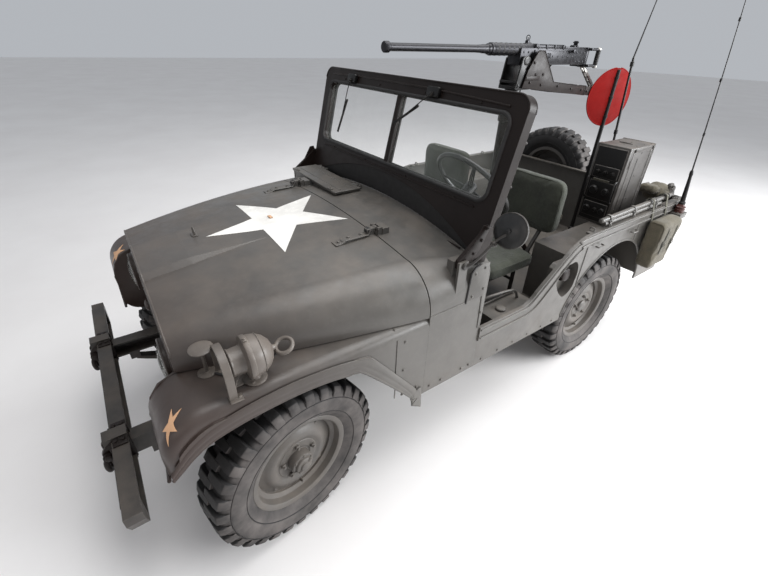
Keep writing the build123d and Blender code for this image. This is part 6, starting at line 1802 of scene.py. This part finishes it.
def add_jerry_can():
    """The fuel can with its pressed cross, three handles, cap and strap."""
    form = Form()
    x0, x1, y0, y1, z0, z1 = 300.0, 640.0, 1768.0, 1928.0, 562.0, 990.0
    xm, y = (x0 + x1) / 2, (y0 + y1) / 2
    outline = [(x0, z0 + 26), (x0 + 26, z0), (x1 - 26, z0), (x1, z0 + 26), (x1, z1 - 60), (x1 - 34, z1 - 8),
               (x1 - 60, z1), (x0 + 60, z1), (x0 + 30, z1 - 12), (x0, z1 - 60)]
    place = facing((0, y1 - 3, 0), LEFT, UP)
    form.slab(outline, place, y1 - y0 - 6, 16, 4)
    cross = [(x0 + 50, z0 + 60), (x0 + 62, z0 + 48), (xm, z0 + 190), (x1 - 62, z0 + 48), (x1 - 50, z0 + 60),
             (x1 - 150, z0 + 208), (x1 - 50, z1 - 90), (x1 - 62, z1 - 78), (xm, z0 + 226), (x0 + 62, z1 - 78),
             (x0 + 50, z1 - 90), (x0 + 150, z0 + 208)]
    form.slab(cross, facing((0, y1 - 2, 0), LEFT, UP), 4, 1.5)
    for x, out, top in ((x0, -1, z1 - 40), (x1, 1, z1 - 50)):
        form.tube([(x - 2 * out, y, z0 + 20), (x + out, y, (z0 + z1) / 2), (x - 2 * out, y, top)], 3, 8)
    for x in (410, 470, 530):
        form.pipe([(x, y - 60, z1 - 4), (x, y - 56, z1 + 20), (x, y - 40, z1 + 25), (x, y + 40, z1 + 25),
                   (x, y + 56, z1 + 20), (x, y + 60, z1 - 4)], 5, 7, 10)
    form.lathe((x1 - 66, y, z1 - 14), (0.35, 0, 1),
               [(0, 30), (10, 30), (13, 36), (26, 36), (30, 30), (31, 1)], 32)
    form.block(x1 - 90, x1 - 40, y - 8, y + 8, z1 + 10, z1 + 18, 3)
    form.paint = 1
    form.band([(x0 - 6, y1 - 40, z0 + 140), (x0 - 6, y1 + 1, z0 + 142), (x0 + 10, y1 + 3, z0 + 144),
               (x1 - 10, y1 + 3, z0 + 144), (x1 + 6, y1 + 1, z0 + 142), (x1 + 6, y1 - 40, z0 + 140)], UP, 30,
              3)
    form.piece("fuel_can", "chassis", [BODY, WEBBING], ["jerry_can"], "body_paint")


def add_tools():
    """Shovel and axe strapped to the right side."""
    form = Form()
    x = -801.0
    form.paint = 1
    form.tube([(x, -56, 600), (x, 100, 600), (x, 300, 600), (x, 480, 600)], 16, 16, end_radius=17)
    for dz in (-1, 1):
        form.pipe([(x, -30, 600), (x, -70, 600 + dz * 26), (x, -100, 600 + dz * 44)], 4, 9, 10)
    form.rod((x, -104, 552), (x, -104, 648), 12)
    form.pipe([(-866, -106, 597), (-866, 60, 600), (-866, 240, 604), (-866, 372, 600)], 6, 15, 14, flat=1.3)
    form.paint = 0
    rows = []
    for j in range(9):
        y = 480 + 78 * j / 8
        wide = 62 - 26 * (j / 8) ** 3
        rows.append([(x - 10 + 12 * (k / 4 - 1) ** 2, y, 577 + wide * (k / 4 - 1)) for k in range(9)])
    form.skin(rows, 3)
    form.rod((x, 380, 600), (x, 486, 600), 19, 14)
    form.slab([(346, 606), (360, 678), (400, 672), (404, 640), (450, 634), (514, 678), (518, 524), (450, 590),
               (404, 582), (362, 590)], Matrix(((0, 0, 1, -878), (1, 0, 0, 0), (0, 1, 0, 0), (0, 0, 0, 1))),
              24, 5)
    form.paint = 2
    for y in (20, 300):
        form.band(curved([(-766, y, 640), (-800, y, 644), (-870, y, 628), (-886, y, 600), (-870, y, 574),
                          (-800, y, 560), (-766, y, 560)], 4), BACK, 26, 3)
        form.block(-800, -766, y - 18, y + 18, 548, 560, 2)
        form.tube([(-888, y + u, 612 + v) for u, v in rounded(16, 12, 3, 2)], 2.2, 6, closed=True)
    form.piece("shovel_and_axe", "chassis", [CHASSIS, WOOD, WEBBING], ["pioneer_tools"], "tool_wood")


def add_spare():
    """The spare wheel, its carrier and the tow eye."""
    place = Matrix.Translation((SPARE_X, SPARE_Y, SPARE_Z)) @ Matrix.Rotation(radians(90), 4, "Z")
    tyre_form(place).piece("spare_tread", "chassis", [TYRE], ["spare_tyre"], "tyre_rubber")
    wheel_form(place, 44.0, "rear").piece("spare_disc_wheel", "chassis", [WHEEL],
                                          ["spare_wheel"], "wheel_paint")
    form = Form()
    form.lathe((SPARE_X, 1764, SPARE_Z), BACK, [(0, 60), (8, 60), (12, 40), (104, 40), (106, 22),
                                                (140, 22), (142, 1)], 32)
    form.bolt((SPARE_X, 1906, SPARE_Z), BACK, 22, 16)
    for side in (-1, 1):
        form.tube([(SPARE_X + side * 30, 1766, SPARE_Z), (SPARE_X + side * 110, 1768, 800),
                   (SPARE_X + side * 150, 1768, 700)], 12, 10, flat=0.6)
        form.plate([(1766, 470), (1800, 470), (1800, 500), (1766, 520)], side * 500 - 20, side * 500 + 20, 3)
    form.tube(ring((0, 1786, 470), BACK, 30, 28), 9, 10, closed=True)
    form.piece("spare_carrier", "chassis", [BODY], slot="body_paint")


def add_running_gear():
    """Clips for the spring leaves, axle bolts and brake pipes."""
    form = Form()
    for end, axle in (("front", AXLE_F), ("rear", AXLE_R)):
        for side in (-1, 1):
            x = side * SPRING_X
            for dx in (-26, 26):
                for dy in (-42, 42):
                    form.rod((x + dx, axle + dy, 300), (x + dx, axle + dy, 440), 6, sides=10)
                    form.bolt((x + dx, axle + dy, 300), DOWN, 9, 8)
        form.lathe((DIFF_X[end], axle, TYRE_R), AHEAD, [(0, 96), (6, 98), (16, 92), (34, 60), (40, 1)], 36)
        for i in range(10):
            a = radians(36 * i)
            cx = DIFF_X[end]
            form.bolt((cx + 86 * cos(a), axle - 8, TYRE_R + 86 * sin(a)), AHEAD, 6, 6)
    for side in (-1, 1):
        form.pipe([(side * 330, AXLE_F + 40, 500), (side * 360, AXLE_F + 70, 430),
                   (side * 420, AXLE_F + 60, 380), (side * 500, AXLE_F + 20, 380)], 6, 6, 8)
    form.piece("axle_fittings", "chassis", [CHASSIS], slot="chassis_paint")


add_radio()
add_antennas()
add_signal()
add_bow_tubes()
add_bag()
add_canvas_roll()
add_bundle()
add_jerry_can()
add_tools()
add_spare()
add_running_gear()
add_gun()
add_gun_tray()
add_pedestal()
add_seats()
add_steering()
add_cab_fittings()
add_front_lamps()
